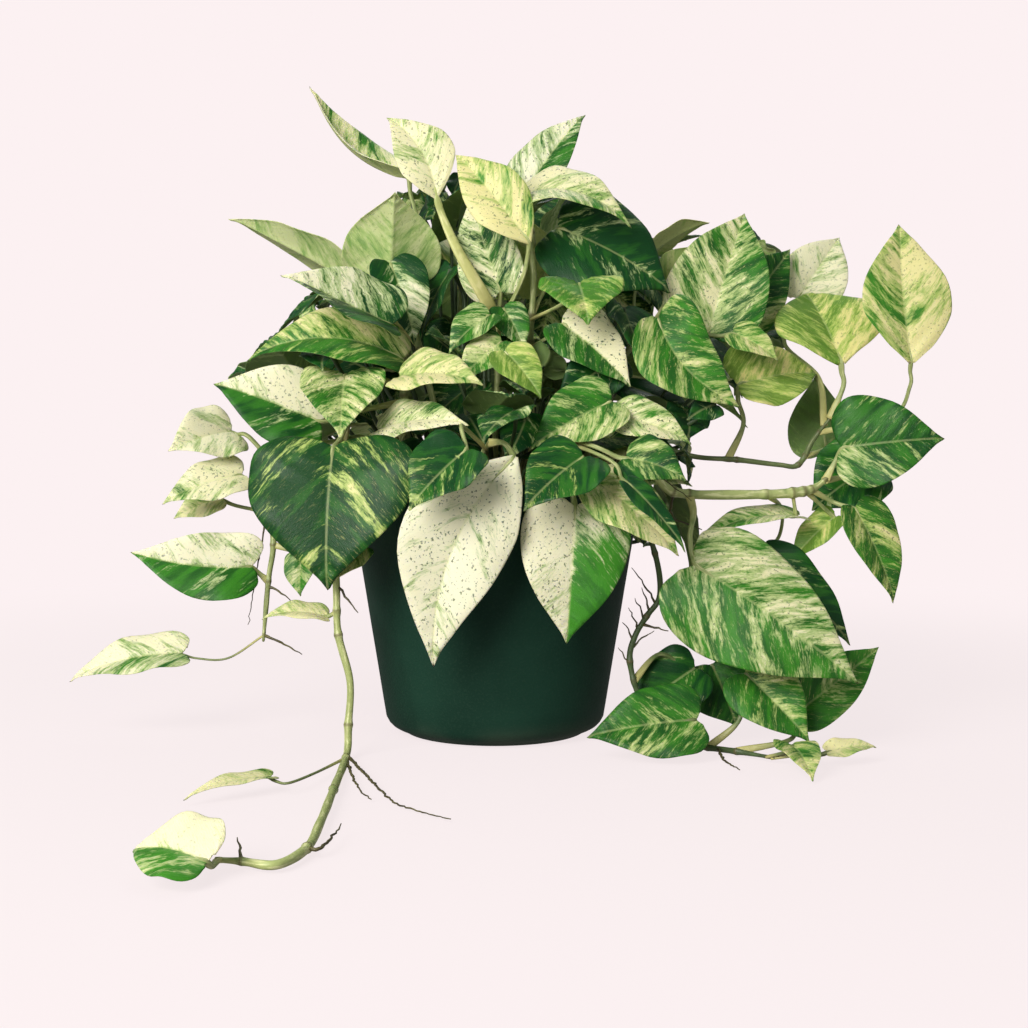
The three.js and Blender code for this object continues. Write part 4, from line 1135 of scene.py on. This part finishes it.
class Crown:
    """The room left in the crown, and the inner leaves that are put in it."""

    def __init__(self, bodies):
        self.body = Gather()
        self.vines = tree_of(np.vstack([body.all_points() for body in bodies]))
        # One far point, so that the search among inner leaves always finds one.
        self.points = [np.array([[0.0, 0.0, -EYE_DISTANCE]])]
        self.inner = tree_of(self.points[0])
        leaves = [leaf for body in bodies for leaf in body.leaves]
        front = nearest_depths([leaf for body in bodies[:FRONT_VINES] for leaf in body.leaves])
        self.front = np.where(np.isfinite(front), front, -np.inf)
        inside = inside_crown(*cell_middle(*np.indices(VIEW_CELLS)))
        self.open = inside & np.isinf(nearest_depths(leaves))
        self.made = 0

    def clear(self, points, least):
        """Whether all points lie further than the least from vines and inner leaves."""
        return all(
            min(self.vines.find(point)[2], self.inner.find(point)[2]) > least for point in points)

    def put(self, leaf, tone, hidden, cells, seed):
        """Adds the leaf where it has room, hides little and closes enough sky."""
        probe = blade_probe(leaf, PROBE_STEP)
        if inside_crown(*seen_at(probe)).mean() < INSIDE_LEAST or probe[:, 1].max() > BACK_MOST:
            return False
        columns, rows, depth = cells_of(probe)
        if (depth < self.front[columns, rows]).mean() > hidden:
            return False
        columns, rows, _ = cells_of(blade_probe(leaf, COVER_STEP))
        covered = np.zeros(VIEW_CELLS, bool)
        covered[columns, rows] = True
        if (covered & self.open).sum() < cells:
            return False
        stalk = curve_at(
            [leaf["foot"], leaf["passes"][0], leaf["root"]], np.linspace(*STALK_PROBE))
        if not (self.clear(probe[::2], INNER_CLEAR) and self.clear(stalk, PETIOLE_CLEAR)):
            return False
        add_petiole(self.body, None, leaf, INNER_DARK, seed)
        add_blade(self.body, leaf, tone, seed)
        self.points += [probe, stalk]
        self.inner = tree_of(np.vstack(self.points))
        self.open &= ~covered
        self.made += 1
        return True


def fill_hollows_with_painted_shade(crown, draw):
    """Darkest green leaves as painted shade in the crown's hollows, each as near the eye as it finds room.
    """
    for across, up, length, near in SHADE_LEAVES:
        for attempt in range(SHADE_TRIES):
            middle = place([across, up, near - SHADE_DEPTH * attempt / SHADE_TRIES])
            leaf = inner_row(draw, middle, length)
            if crown.put(leaf, PAINTED_SHADE_TONE, SHADE_HIDDEN, 0, INNER_SEED + attempt):
                break


def close_gaps(crown, draw):
    """Leaves behind the front ones, where the sky would show through the crown."""
    for tries, shortest, longest, far, near, hidden, cells in GAP_SEARCHES:
        gaps = np.argwhere(crown.open)
        made = crown.made
        for attempt in range(tries):
            if crown.made > made:
                gaps, made = np.argwhere(crown.open), crown.made
            if len(gaps) <= cells or made >= INNER_MOST:
                break
            across, up = cell_middle(*gaps[draw.integers(len(gaps))])
            middle = place([across, up, draw.uniform(far, near)])
            leaf = inner_row(draw, middle, draw.uniform(shortest, longest))
            tone = INNER_TONES[draw.integers(len(INNER_TONES))]
            crown.put(leaf, tone, hidden, cells, GAP_SEED + attempt)


def inner_piece(bodies, materials):
    """All inner leaves as one piece."""
    draw = np.random.default_rng(INNER_SEED)
    crown = Crown(bodies)
    fill_hollows_with_painted_shade(crown, draw)
    close_gaps(crown, draw)
    for attempt in range(ROOM_TRIES):
        if crown.made >= INNER_MOST:
            break
        leaf = inner_row(draw, None, draw.uniform(*ROOM_LENGTHS))
        tone = INNER_TONES[draw.integers(len(INNER_TONES))]
        crown.put(leaf, tone, ROOM_HIDDEN, 0, ROOM_SEED + attempt)
    piece = crown.body.mesh("pothos_inner_leaves", materials)
    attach(piece, "root")


# ---- Materials ---------------------------------------------------------------------


def shade(red, green, blue):
    """A screen colour, 0 to 255, as the linear colour that the shaders use."""
    linear = [
        value / 255 / 12.92 if value <= 10 else ((value / 255 + 0.055) / 1.055) ** 2.4
        for value in (red, green, blue)]
    return (*linear, 1.0)


class Nodes:
    """Short calls that add nodes to a tree and feed them."""

    def __init__(self, tree):
        self.tree = tree

    def node(self, kind, settings=(), **inputs):
        made = self.tree.nodes.new(kind)
        for key, value in settings:
            setattr(made, key, value)
        for key, value in inputs.items():
            self.feed(made.inputs[key.replace("_", " ")], value)
        return made

    def feed(self, socket, value):
        if isinstance(value, bpy.types.NodeSocket):
            self.tree.links.new(value, socket)
        else:
            socket.default_value = value

    def fed(self, made, *values):
        """The node with its first inputs fed in order."""
        for socket, value in zip(made.inputs, values):
            self.feed(socket, value)
        return made

    def seen_or_lit(self, seen, lit):
        """One shader for the camera and another for the light that bounces."""
        camera = self.node("ShaderNodeLightPath").outputs["Is Camera Ray"]
        return self.fed(self.node("ShaderNodeMixShader"), camera, lit, seen).outputs[0]


class Paint(Nodes):
    """A material with one Principled shader."""

    def __init__(self, name, roughness, specular=0.5):
        self.material = bpy.data.materials.new(name)
        self.material.use_nodes = True
        super().__init__(self.material.node_tree)
        self.shader = self.tree.nodes["Principled BSDF"]
        self.shader.inputs["Roughness"].default_value = roughness
        self.shader.inputs["Specular IOR Level"].default_value = specular

    def coat(self, colour, roughness):
        self.feed(self.shader.inputs["Base Color"], colour)
        self.feed(self.shader.inputs["Roughness"], roughness)

    def field(self, name, output="Vector"):
        """One of the mesh's point values."""
        return self.node("ShaderNodeAttribute", [("attribute_name", name)]).outputs[output]

    def parts(self, vector):
        return self.fed(self.node("ShaderNodeSeparateXYZ"), vector).outputs[:3]

    def joined(self, x, y, z):
        return self.fed(self.node("ShaderNodeCombineXYZ"), x, y, z).outputs[0]

    def scaled(self, vector, *factors):
        made = self.node("ShaderNodeVectorMath", [("operation", "MULTIPLY")])
        return self.fed(made, vector, factors).outputs[0]

    def noise(self, vector, scale=1.0, detail=2.0, roughness=0.5):
        made = self.node(
            "ShaderNodeTexNoise", Vector=vector, Scale=scale, Detail=detail, Roughness=roughness)
        return made.outputs[0]

    def sums(self, operation, *values, clamp=False):
        made = self.node("ShaderNodeMath", [("operation", operation), ("use_clamp", clamp)])
        return self.fed(made, *values).outputs[0]

    def times(self, first, second):
        return self.sums("MULTIPLY", first, second)

    def less(self, first, second):
        return self.sums("SUBTRACT", first, second)

    def line(self, value, factor, offset, clamp=False):
        """The value times the factor, plus the offset."""
        return self.sums("MULTIPLY_ADD", value, factor, offset, clamp=clamp)

    def step(self, value, low, high):
        """0 below low, 1 over high, and smooth between."""
        made = self.node("ShaderNodeMapRange", [("interpolation_type", "SMOOTHSTEP")])
        return self.fed(made, value, low, high).outputs[0]

    def mix(self, share, first, second):
        made = self.node("ShaderNodeMix", [("data_type", "RGBA")])
        for index, value in ((0, share), (6, first), (7, second)):
            self.feed(made.inputs[index], value)
        return made.outputs[2]

    def bump(self, height, distance):
        """Fine relief, at most the distance in metres."""
        made = self.node("ShaderNodeBump", Strength=1.0, Distance=distance, Height=height)
        self.feed(self.shader.inputs["Normal"], made.outputs[0])


# The fine veins for each side vein.
FINE_VEINS = 3
CREAM = shade(242, 239, 208)
STRAW = shade(226, 216, 138)
LIME = shade(154, 184, 76)
OLIVE = shade(126, 150, 62)
SAGE = shade(158, 182, 118)
LEAF_GREEN = shade(62, 134, 36)
DEEP_GREEN = shade(18, 66, 28)
FLECK_GREEN = shade(52, 80, 44)
UNDER_SAGE = shade(158, 184, 112)
RIB_PALE = shade(206, 214, 146)


def blade_paint():
    """Marbled leaf: cream ground, streaks and sectors of green along the side veins, fine flecks."""
    paint = Paint("pothos_blade", 0.42, 0.22)
    paint.shader.inputs["Subsurface Weight"].default_value = 0.22
    paint.shader.inputs["Subsurface Radius"].default_value = (0.8, 1.0, 0.3)
    paint.shader.inputs["Subsurface Scale"].default_value = 0.001
    place_mm = paint.field("place_mm")
    vein_share, _, under = paint.parts(paint.field("place_share"))
    run, reach, turn = paint.parts(place_mm)
    tone = paint.field("tone", "Color")
    green, yellow, deep = paint.parts(tone)
    grain = paint.field("tone", "Alpha")

    # Marbling: streaks along the side veins, broad patches and crumbs, bent a little.
    drift = paint.node("ShaderNodeTexNoise", Vector=place_mm, Scale=0.06, Detail=1.0)
    drift = paint.scaled(drift.outputs["Color"], 9, 9, 0)
    warp = paint.node("ShaderNodeVectorMath", [("operation", "ADD")])
    bent = paint.fed(warp, place_mm, drift).outputs[0]
    streak = paint.noise(paint.scaled(bent, 0.24, 0.085, 1), detail=4, roughness=0.7)
    patch = paint.noise(paint.scaled(bent, 0.055, 0.035, 1), detail=2)
    crumb = paint.noise(paint.scaled(place_mm, 1.0, 0.6, 1), detail=3, roughness=0.7)
    blend = paint.line(streak, 0.5, paint.times(patch, 0.4))
    blend = paint.line(crumb, 0.1, blend)
    level = paint.line(paint.less(blend, 0.5), 4.4, 0.5)
    bar = paint.less(1.0, green)
    half_green = paint.step(level, paint.less(bar, 0.42), paint.sums("ADD", bar, 0.05))
    full_green = paint.step(level, paint.less(bar, 0.04), paint.sums("ADD", bar, 0.3))

    # The pale ground, a lime or sage half green over it, and the full green.
    ground = paint.mix(yellow, CREAM, STRAW)
    between = paint.mix(yellow, SAGE, LIME)
    variety = paint.step(paint.noise(paint.scaled(bent, 0.16, 0.06, 1), detail=3), 0.35, 0.65)
    darkness = paint.line(variety, 0.6, paint.less(deep, 0.3), clamp=True)
    strong = paint.mix(darkness, LEAF_GREEN, DEEP_GREEN)
    strong = paint.mix(paint.times(paint.step(yellow, 0.72, 1.0), 0.75), strong, OLIVE)
    colour = paint.mix(paint.times(half_green, 0.85), ground, between)
    colour = paint.mix(full_green, colour, strong)

    # Dark flecks on the pale parts, and pale dashes on the green ones.
    from_rib = paint.sums("ABSOLUTE", reach)
    straight = paint.line(from_rib, VEIN_SLOPE + 0.2, run)
    round_mm = paint.joined(straight, reach, turn)
    speck = paint.noise(paint.scaled(round_mm, 0.62, 0.62, 1), detail=3, roughness=0.6)
    crowd = paint.times(paint.less(0.5, variety), 0.05)
    dark_speck = paint.step(paint.less(speck, crowd), 0.6, 0.65)
    dark_speck = paint.times(dark_speck, grain)
    dash = paint.noise(paint.scaled(place_mm, 0.9, 0.26, 1), detail=4, roughness=0.75)
    pale_speck = paint.times(paint.step(dash, 0.43, 0.34), grain)
    pale_speck = paint.times(pale_speck, paint.step(green, 0.99, 0.88))
    on_pale = paint.less(1.0, full_green)
    colour = paint.mix(paint.times(dark_speck, on_pale), colour, FLECK_GREEN)
    pale_share = paint.times(paint.times(pale_speck, full_green), 0.8)
    colour = paint.mix(pale_share, colour, paint.mix(yellow, SAGE, STRAW))

    # The midrib, the paler underside, the wax and the fine relief.
    rib = paint.step(from_rib, RIB_HALF, 0.2)
    colour = paint.mix(paint.times(rib, 0.26), colour, RIB_PALE)
    colour = paint.mix(paint.times(under, 0.55), colour, UNDER_SAGE)
    wax = paint.noise(paint.scaled(place_mm, 0.1, 0.1, 1), detail=2)
    paint.coat(colour, paint.line(under, 0.2, paint.line(wax, 0.24, 0.28)))

    fine = paint.noise(paint.scaled(place_mm, 1.6, 0.9, 1), detail=3)
    wave = paint.sums("SINE", paint.times(vein_share, 2 * math.pi * FINE_VEINS * SIDE_VEINS))
    height = paint.line(wave, 0.06, fine)
    height = paint.line(patch, 1.2, height)
    paint.bump(height, 0.00022)
    return paint.material


def stalk_paint():
    """Stems, petioles and roots: pale green with long streaks, browner at nodes and roots."""
    paint = Paint("pothos_stalk", 0.45)
    run = paint.field("place_mm")
    node = paint.parts(paint.field("place_share"))[1]
    dark, root, sheath = paint.parts(paint.field("tone", "Color"))
    streak = paint.noise(paint.scaled(run, 0.09, 7.0, 1), detail=3)
    patch = paint.noise(paint.scaled(run, 0.12, 1.5, 1), detail=2)
    # The dark green is partly the stalks' own colour and partly painted shade for stalks in shadow.
    colour = paint.mix(dark, shade(186, 196, 124), shade(40, 66, 38))
    streaks = paint.times(paint.step(streak, 0.5, 0.64), paint.less(0.9, dark))
    colour = paint.mix(streaks, colour, shade(226, 226, 168))
    colour = paint.mix(paint.times(paint.step(patch, 0.52, 0.7), 0.5), colour, shade(84, 116, 54))
    colour = paint.mix(paint.times(sheath, 0.75), colour, shade(218, 206, 132))
    ring = paint.times(paint.step(node, 0.45, 0.95), 0.65)
    colour = paint.mix(ring, colour, shade(98, 86, 52))
    bark = paint.mix(paint.step(streak, 0.4, 0.6), shade(58, 50, 32), shade(104, 98, 56))
    colour = paint.mix(root, colour, bark)
    paint.coat(colour, paint.line(patch, 0.3, 0.32))
    rough = paint.noise(paint.scaled(run, 0.5, 9.0, 1), detail=3)
    paint.bump(paint.line(node, 1.5, rough), 0.0003)
    return paint.material


def pot_paint():
    """Moulded dark green-black plastic: fine grain, faint mottle, a dusty foot."""
    paint = Paint("nursery_pot", 0.6, 0.12)
    spot = paint.node("ShaderNodeTexCoord").outputs["Object"]
    height = paint.parts(spot)[2]
    mottle = paint.noise(spot, 14, 4)
    grain = paint.noise(spot, 900, 2)
    colour = paint.mix(paint.step(mottle, 0.3, 0.7), shade(19, 49, 37), shade(27, 61, 47))
    colour = paint.mix(paint.times(paint.step(grain, 0.52, 0.66), 0.3), colour, shade(40, 66, 52))
    dust = paint.times(paint.step(height, 0.016, 0.001), paint.step(mottle, 0.4, 0.62))
    colour = paint.mix(paint.times(dust, 0.25), colour, shade(96, 92, 78))
    wear = paint.noise(spot, 60, 3)
    paint.coat(colour, paint.line(wear, 0.22, 0.5))
    flow = paint.noise(paint.scaled(spot, 25, 25, 260), 1, 2)
    paint.bump(paint.line(flow, 0.3, grain), 0.00016)
    return paint.material


def soil_paint():
    """Moist potting mix: dark crumbs, bark and a few pale grains."""
    paint = Paint("potting_mix", 0.9, 0.25)
    spot = paint.node("ShaderNodeTexCoord").outputs["Object"]
    coarse = paint.noise(spot, 90, 5, 0.7)
    fine = paint.noise(spot, 500, 3)
    colour = paint.mix(paint.step(coarse, 0.35, 0.65), shade(34, 24, 18), shade(86, 62, 44))
    colour = paint.mix(paint.times(paint.step(fine, 0.55, 0.7), 0.5), colour, shade(120, 96, 70))
    grains = paint.node("ShaderNodeTexVoronoi", Vector=spot, Scale=210).outputs["Distance"]
    bright = paint.step(grains, 0.12, 0.08)
    colour = paint.mix(paint.times(bright, paint.step(coarse, 0.5, 0.56)), colour, shade(206, 200, 188))
    paint.coat(colour, paint.line(fine, 0.25, 0.72))
    paint.bump(paint.sums("ADD", coarse, fine), 0.0012)
    return paint.material


# ---- Pot and soil ------------------------------------------------------------------

POT_SEGMENTS = 144
POT_PROFILE = [
    (0, 0), (30, 0), (52.6, 0), (53.7, 0.15), (54.6, 0.7), (57, 2.2), (59.6, 3.1), (61.5, 4.2),
    (63.4, 6.1), (65, 9), (66.7, 19), (70.3, 41), (74, 63), (77.6, 85), (81.3, 107), (84.2, 124),
    (86.6, 138.6), (87.1, 140.2), (88.2, 141), (89.4, 141.4), (90.2, 142.1), (90.5, 143.2),
    (90.5, 148.2), (90.1, 149.3), (89.1, 149.95), (87.9, 150), (86.9, 149.6), (86.3, 148.7),
    (85.8, 146), (85.2, 141.8), (81.5, 120), (77.9, 98), (74.2, 76), (70.5, 54), (66.9, 32),
    (63.2, 10.1), (61.8, 7.4), (59.7, 5.3), (57, 3.2), (53, 2.4), (30, 2.4), (0, 2.4),
]
DRAIN_HOLES = 8
DRAIN_RADIUS = 5
DRAIN_CIRCLE = 46
DRAIN_SEGMENTS = 32
DRAIN_SPAN = (-3, 6)
SHARP_ANGLE = math.radians(38)


def lathe(profile, segments):
    """Points and faces of a closed lathe whose profile starts and ends on the axis."""
    angles = circle(segments)
    rings = [
        np.column_stack([radius * np.cos(angles), radius * np.sin(angles), np.full(segments, height)])
        for radius, height in profile[1:-1]]
    points = np.vstack(rings + [[[0, 0, profile[0][1]], [0, 0, profile[-1][1]]]])
    return points, tube_faces(len(rings), segments)


def plain_object(name, points, faces, material=None):
    """A smooth object from points in millimetres."""
    mesh = bpy.data.meshes.new(name)
    mesh.from_pydata((np.asarray(points) * MM).tolist(), [], faces)
    if material:
        mesh.materials.append(material)
    mesh.shade_smooth()
    return linked(name, mesh)


def drills():
    """One object of the rods that the drainage holes are cut with."""
    low, high = DRAIN_SPAN
    rod, faces = lathe([(0, low), (DRAIN_RADIUS, low), (DRAIN_RADIUS, high), (0, high)], DRAIN_SEGMENTS)
    points, all_faces = [], []
    for hole in range(DRAIN_HOLES):
        angle = 2 * math.pi * (hole + 0.5) / DRAIN_HOLES
        all_faces += shifted(faces, hole * len(rod))
        points.append(rod + [DRAIN_CIRCLE * math.cos(angle), DRAIN_CIRCLE * math.sin(angle), 0])
    return plain_object("drills", np.vstack(points), all_faces)


def pot_piece(material):
    """The pot, turned from its profile, with the drainage holes cut through its floor."""
    pot = plain_object("nursery_pot", *lathe(POT_PROFILE, POT_SEGMENTS), material)
    cutter = drills()
    cut = pot.modifiers.new("holes", "BOOLEAN")
    cut.operation, cut.solver, cut.object = "DIFFERENCE", "EXACT", cutter
    graph = bpy.context.evaluated_depsgraph_get()
    done = bpy.data.meshes.new_from_object(pot.evaluated_get(graph))
    pot.modifiers.clear()
    pot.data = done
    bpy.data.objects.remove(cutter)
    done.shade_smooth()
    done.set_sharp_from_angle(angle=SHARP_ANGLE)
    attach(pot, "root")
    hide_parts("pot")


SOIL_WALL = [(0, 2.7), (30, 2.7), (52.7, 2.7), (59.4, 5.6), (62.9, 10.4), (73, 71), (83.3, 133.2)]
SOIL_RINGS = 44
SOIL_SEGMENTS = 132
SOIL_LUMP = 1.5
LUMP_SIZE, CRUMB_SIZE = 9, 3.1
CHIPS = 240
CHIP_SEED = 31
CHIP_LIFT = 0.2
# How far out chips lie, their half sizes in millimetres, and their shares of it along, across
# and up. Each corner is uneven by a factor, and each chip leans a little.
CHIP_OUT = 0.96
CHIP_SIZES = (1.0, 3.0)
CHIP_LONG, CHIP_ACROSS, CHIP_UP = 1.5, (0.5, 1), (0.3, 0.7)
CHIP_UNEVEN = (0.75, 1.25)
CHIP_LEAN = 0.25
CHIP_CORNERS = np.array([[1, 0, 0], [0, 1, 0], [-1, 0, 0], [0, -1, 0], [0, 0, 1], [0, 0, -1]], float)
CHIP_SIDES = [
    [0, 1, 4], [1, 2, 4], [2, 3, 4], [3, 0, 4], [1, 0, 5], [2, 1, 5], [3, 2, 5], [0, 3, 5],
]


def soil_height(x, y):
    """The top of the soil: a low crown with lumps."""
    share = min(1.0, math.hypot(x, y) / SOIL_WALL[-1][0])
    coarse = noise.noise(Vector((x / LUMP_SIZE, y / LUMP_SIZE, 1.5)))
    fine = noise.noise(Vector((x / CRUMB_SIZE, y / CRUMB_SIZE, 4.5)))
    lump = coarse + 0.5 * fine
    return SOIL_TOP + SOIL_CROWN * (1 - share ** 2) + SOIL_LUMP * lump * (1 - share ** 8)


def soil_chip(draw, edge):
    """A chip of bark with six corners, turned and leant, on the soil."""
    radius = edge * CHIP_OUT * math.sqrt(draw.random())
    angle = draw.uniform(0, 2 * math.pi)
    size = draw.uniform(*CHIP_SIZES)
    shares = np.array([CHIP_LONG, draw.uniform(*CHIP_ACROSS), draw.uniform(*CHIP_UP)])
    chip = CHIP_CORNERS * (size * shares) * draw.uniform(*CHIP_UNEVEN, (6, 1))
    turn, lean = draw.uniform(0, 2 * math.pi), draw.normal(0, CHIP_LEAN)
    spin = np.array([[math.cos(turn), -math.sin(turn), 0], [math.sin(turn), math.cos(turn), 0], [0, 0, 1]])
    tip = np.array([[1, 0, 0], [0, math.cos(lean), -math.sin(lean)], [0, math.sin(lean), math.cos(lean)]])
    x, y = radius * math.cos(angle), radius * math.sin(angle)
    return chip @ (spin @ tip).T + [x, y, soil_height(x, y) + CHIP_LIFT]


def soil_piece(material):
    """The plug of potting mix, with a lumpy top and chips of bark."""
    edge = SOIL_WALL[-1][0]
    profile = SOIL_WALL + [(edge * (1 - k / SOIL_RINGS), SOIL_TOP) for k in range(1, SOIL_RINGS)]
    points, faces = lathe(profile + [(0, SOIL_TOP)], SOIL_SEGMENTS)
    for point in points:
        if point[2] > SOIL_TOP - 0.5:
            point[2] = soil_height(point[0], point[1])
    shapes, count = [points], len(points)
    draw = np.random.default_rng(CHIP_SEED)
    for _ in range(CHIPS):
        shapes.append(soil_chip(draw, edge))
        faces += shifted(CHIP_SIDES, count)
        count += len(CHIP_CORNERS)
    soil = plain_object("potting_mix", np.vstack(shapes), faces, material)
    soil.data.set_sharp_from_angle(angle=SHARP_ANGLE)
    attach(soil, "root")
    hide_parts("soil")


# ---- The set -----------------------------------------------------------------------

BACKDROP = shade(252, 241, 242)
# The picture's middle and width, in millimetres at the pot's axis.
PICTURE_CENTRE = (11.4, 128.4)
PICTURE_WIDTH = 616.8
SENSOR = 36
FLOOR_RADIUS = 6.0
FLOOR_DROP = 0.0004
LIGHT_FILL = 0.245
LIGHT_TINT = (0.9, 1.0, 0.97, 1.0)
FLOOR_FILL = 0.3
FLOOR_COLOUR = shade(240, 232, 233)
FLOOR_SIDES = 64
# How much of the floor glows rather than being lit, at two distances in metres from the pot.
GLOW_RADII = (0.3, 0.9)
GLOW_SHARES = (0.86, 1.0)
CLIP_START = 0.02
LAMPS = [
    # place, aim, size, watts, colour
    ((-0.85, -1.35, 0.9), (0, 0, 0.2), 1.0, 35.5, (1.0, 0.98, 0.94)),
    ((0.95, -1.1, 0.55), (0, 0, 0.2), 0.9, 0.8, (0.95, 0.98, 1.0)),
    ((0.2, 0.9, 1.3), (0, 0, 0.25), 0.8, 5, (1.0, 1.0, 1.0)),
]


def look_at(thing, start, aim):
    """Puts a camera or lamp at a place in metres, looking at another."""
    thing.location = start
    thing.rotation_euler = (Vector(aim) - Vector(start)).to_track_quat("-Z", "Y").to_euler()


def add_camera():
    """A level camera whose frame is shifted to the picture's middle, so that upright stays upright."""
    data = bpy.data.cameras.new("camera")
    data.sensor_width = SENSOR
    data.lens = SENSOR * EYE_DISTANCE / PICTURE_WIDTH
    data.shift_x = PICTURE_CENTRE[0] / PICTURE_WIDTH
    data.shift_y = (PICTURE_CENTRE[1] - EYE_HEIGHT) / PICTURE_WIDTH
    data.clip_start = CLIP_START
    camera = linked("camera", data)
    look_at(camera, (0, -EYE_DISTANCE * MM, EYE_HEIGHT * MM), (0, 0, EYE_HEIGHT * MM))
    bpy.context.scene.camera = camera


def add_lamps():
    """A key lamp from the front left, a faint one from the right and one from behind."""
    for index, (start, aim, size, watts, colour) in enumerate(LAMPS):
        data = bpy.data.lights.new(f"lamp_{index}", "AREA")
        data.size, data.energy, data.color = size, watts, colour
        look_at(linked(data.name, data), start, aim)


def add_world():
    """A pale sky: full strength where it is seen, weaker as light, so that shadows stay deep."""
    world = bpy.data.worlds.new("studio")
    bpy.context.scene.world = world
    world.use_nodes = True
    world.node_tree.nodes.clear()
    sky = Nodes(world.node_tree)
    seen = sky.node("ShaderNodeBackground", Color=BACKDROP)
    lit = sky.node("ShaderNodeBackground", Color=LIGHT_TINT, Strength=LIGHT_FILL)
    sky.node("ShaderNodeOutputWorld", Surface=sky.seen_or_lit(seen.outputs[0], lit.outputs[0]))


def add_floor():
    """A plain pale floor that glows as the sky does, and takes a faint shadow near the pot."""
    angles = circle(FLOOR_SIDES)
    ring = np.column_stack([np.cos(angles), np.sin(angles), np.zeros(FLOOR_SIDES)]) * FLOOR_RADIUS
    ring[:, 2] = -FLOOR_DROP
    paint = Paint("floor", 1.0, 0.0)
    paint.shader.inputs["Base Color"].default_value = FLOOR_COLOUR
    seen = paint.node("ShaderNodeEmission", Color=BACKDROP)
    lit = paint.node("ShaderNodeEmission", Color=BACKDROP, Strength=FLOOR_FILL)
    glow = paint.seen_or_lit(seen.outputs[0], lit.outputs[0])
    length = paint.node("ShaderNodeVectorMath", [("operation", "LENGTH")])
    paint.fed(length, paint.node("ShaderNodeTexCoord").outputs["Object"])
    reach = paint.node("ShaderNodeMapRange", [("interpolation_type", "SMOOTHSTEP")])
    paint.fed(reach, length.outputs["Value"], *GLOW_RADII, *GLOW_SHARES)
    mix = paint.node("ShaderNodeMixShader")
    paint.fed(mix, reach.outputs[0], paint.shader.outputs[0], glow)
    paint.feed(paint.tree.nodes["Material Output"].inputs[0], mix.outputs[0])
    plain_object("floor", ring / MM, [list(range(FLOOR_SIDES))], paint.material)


# ---- Putting it together -----------------------------------------------------------

add_camera()
add_world()
add_lamps()
add_floor()
bpy.context.scene.view_settings.view_transform = "Standard"

leaf_materials = [blade_paint(), stalk_paint()]
pot_piece(pot_paint())
soil_piece(soil_paint())
vine_bodies = [vine_piece(row, index, leaf_materials) for index, row in enumerate(VINES)]
inner_piece(vine_bodies, leaf_materials)
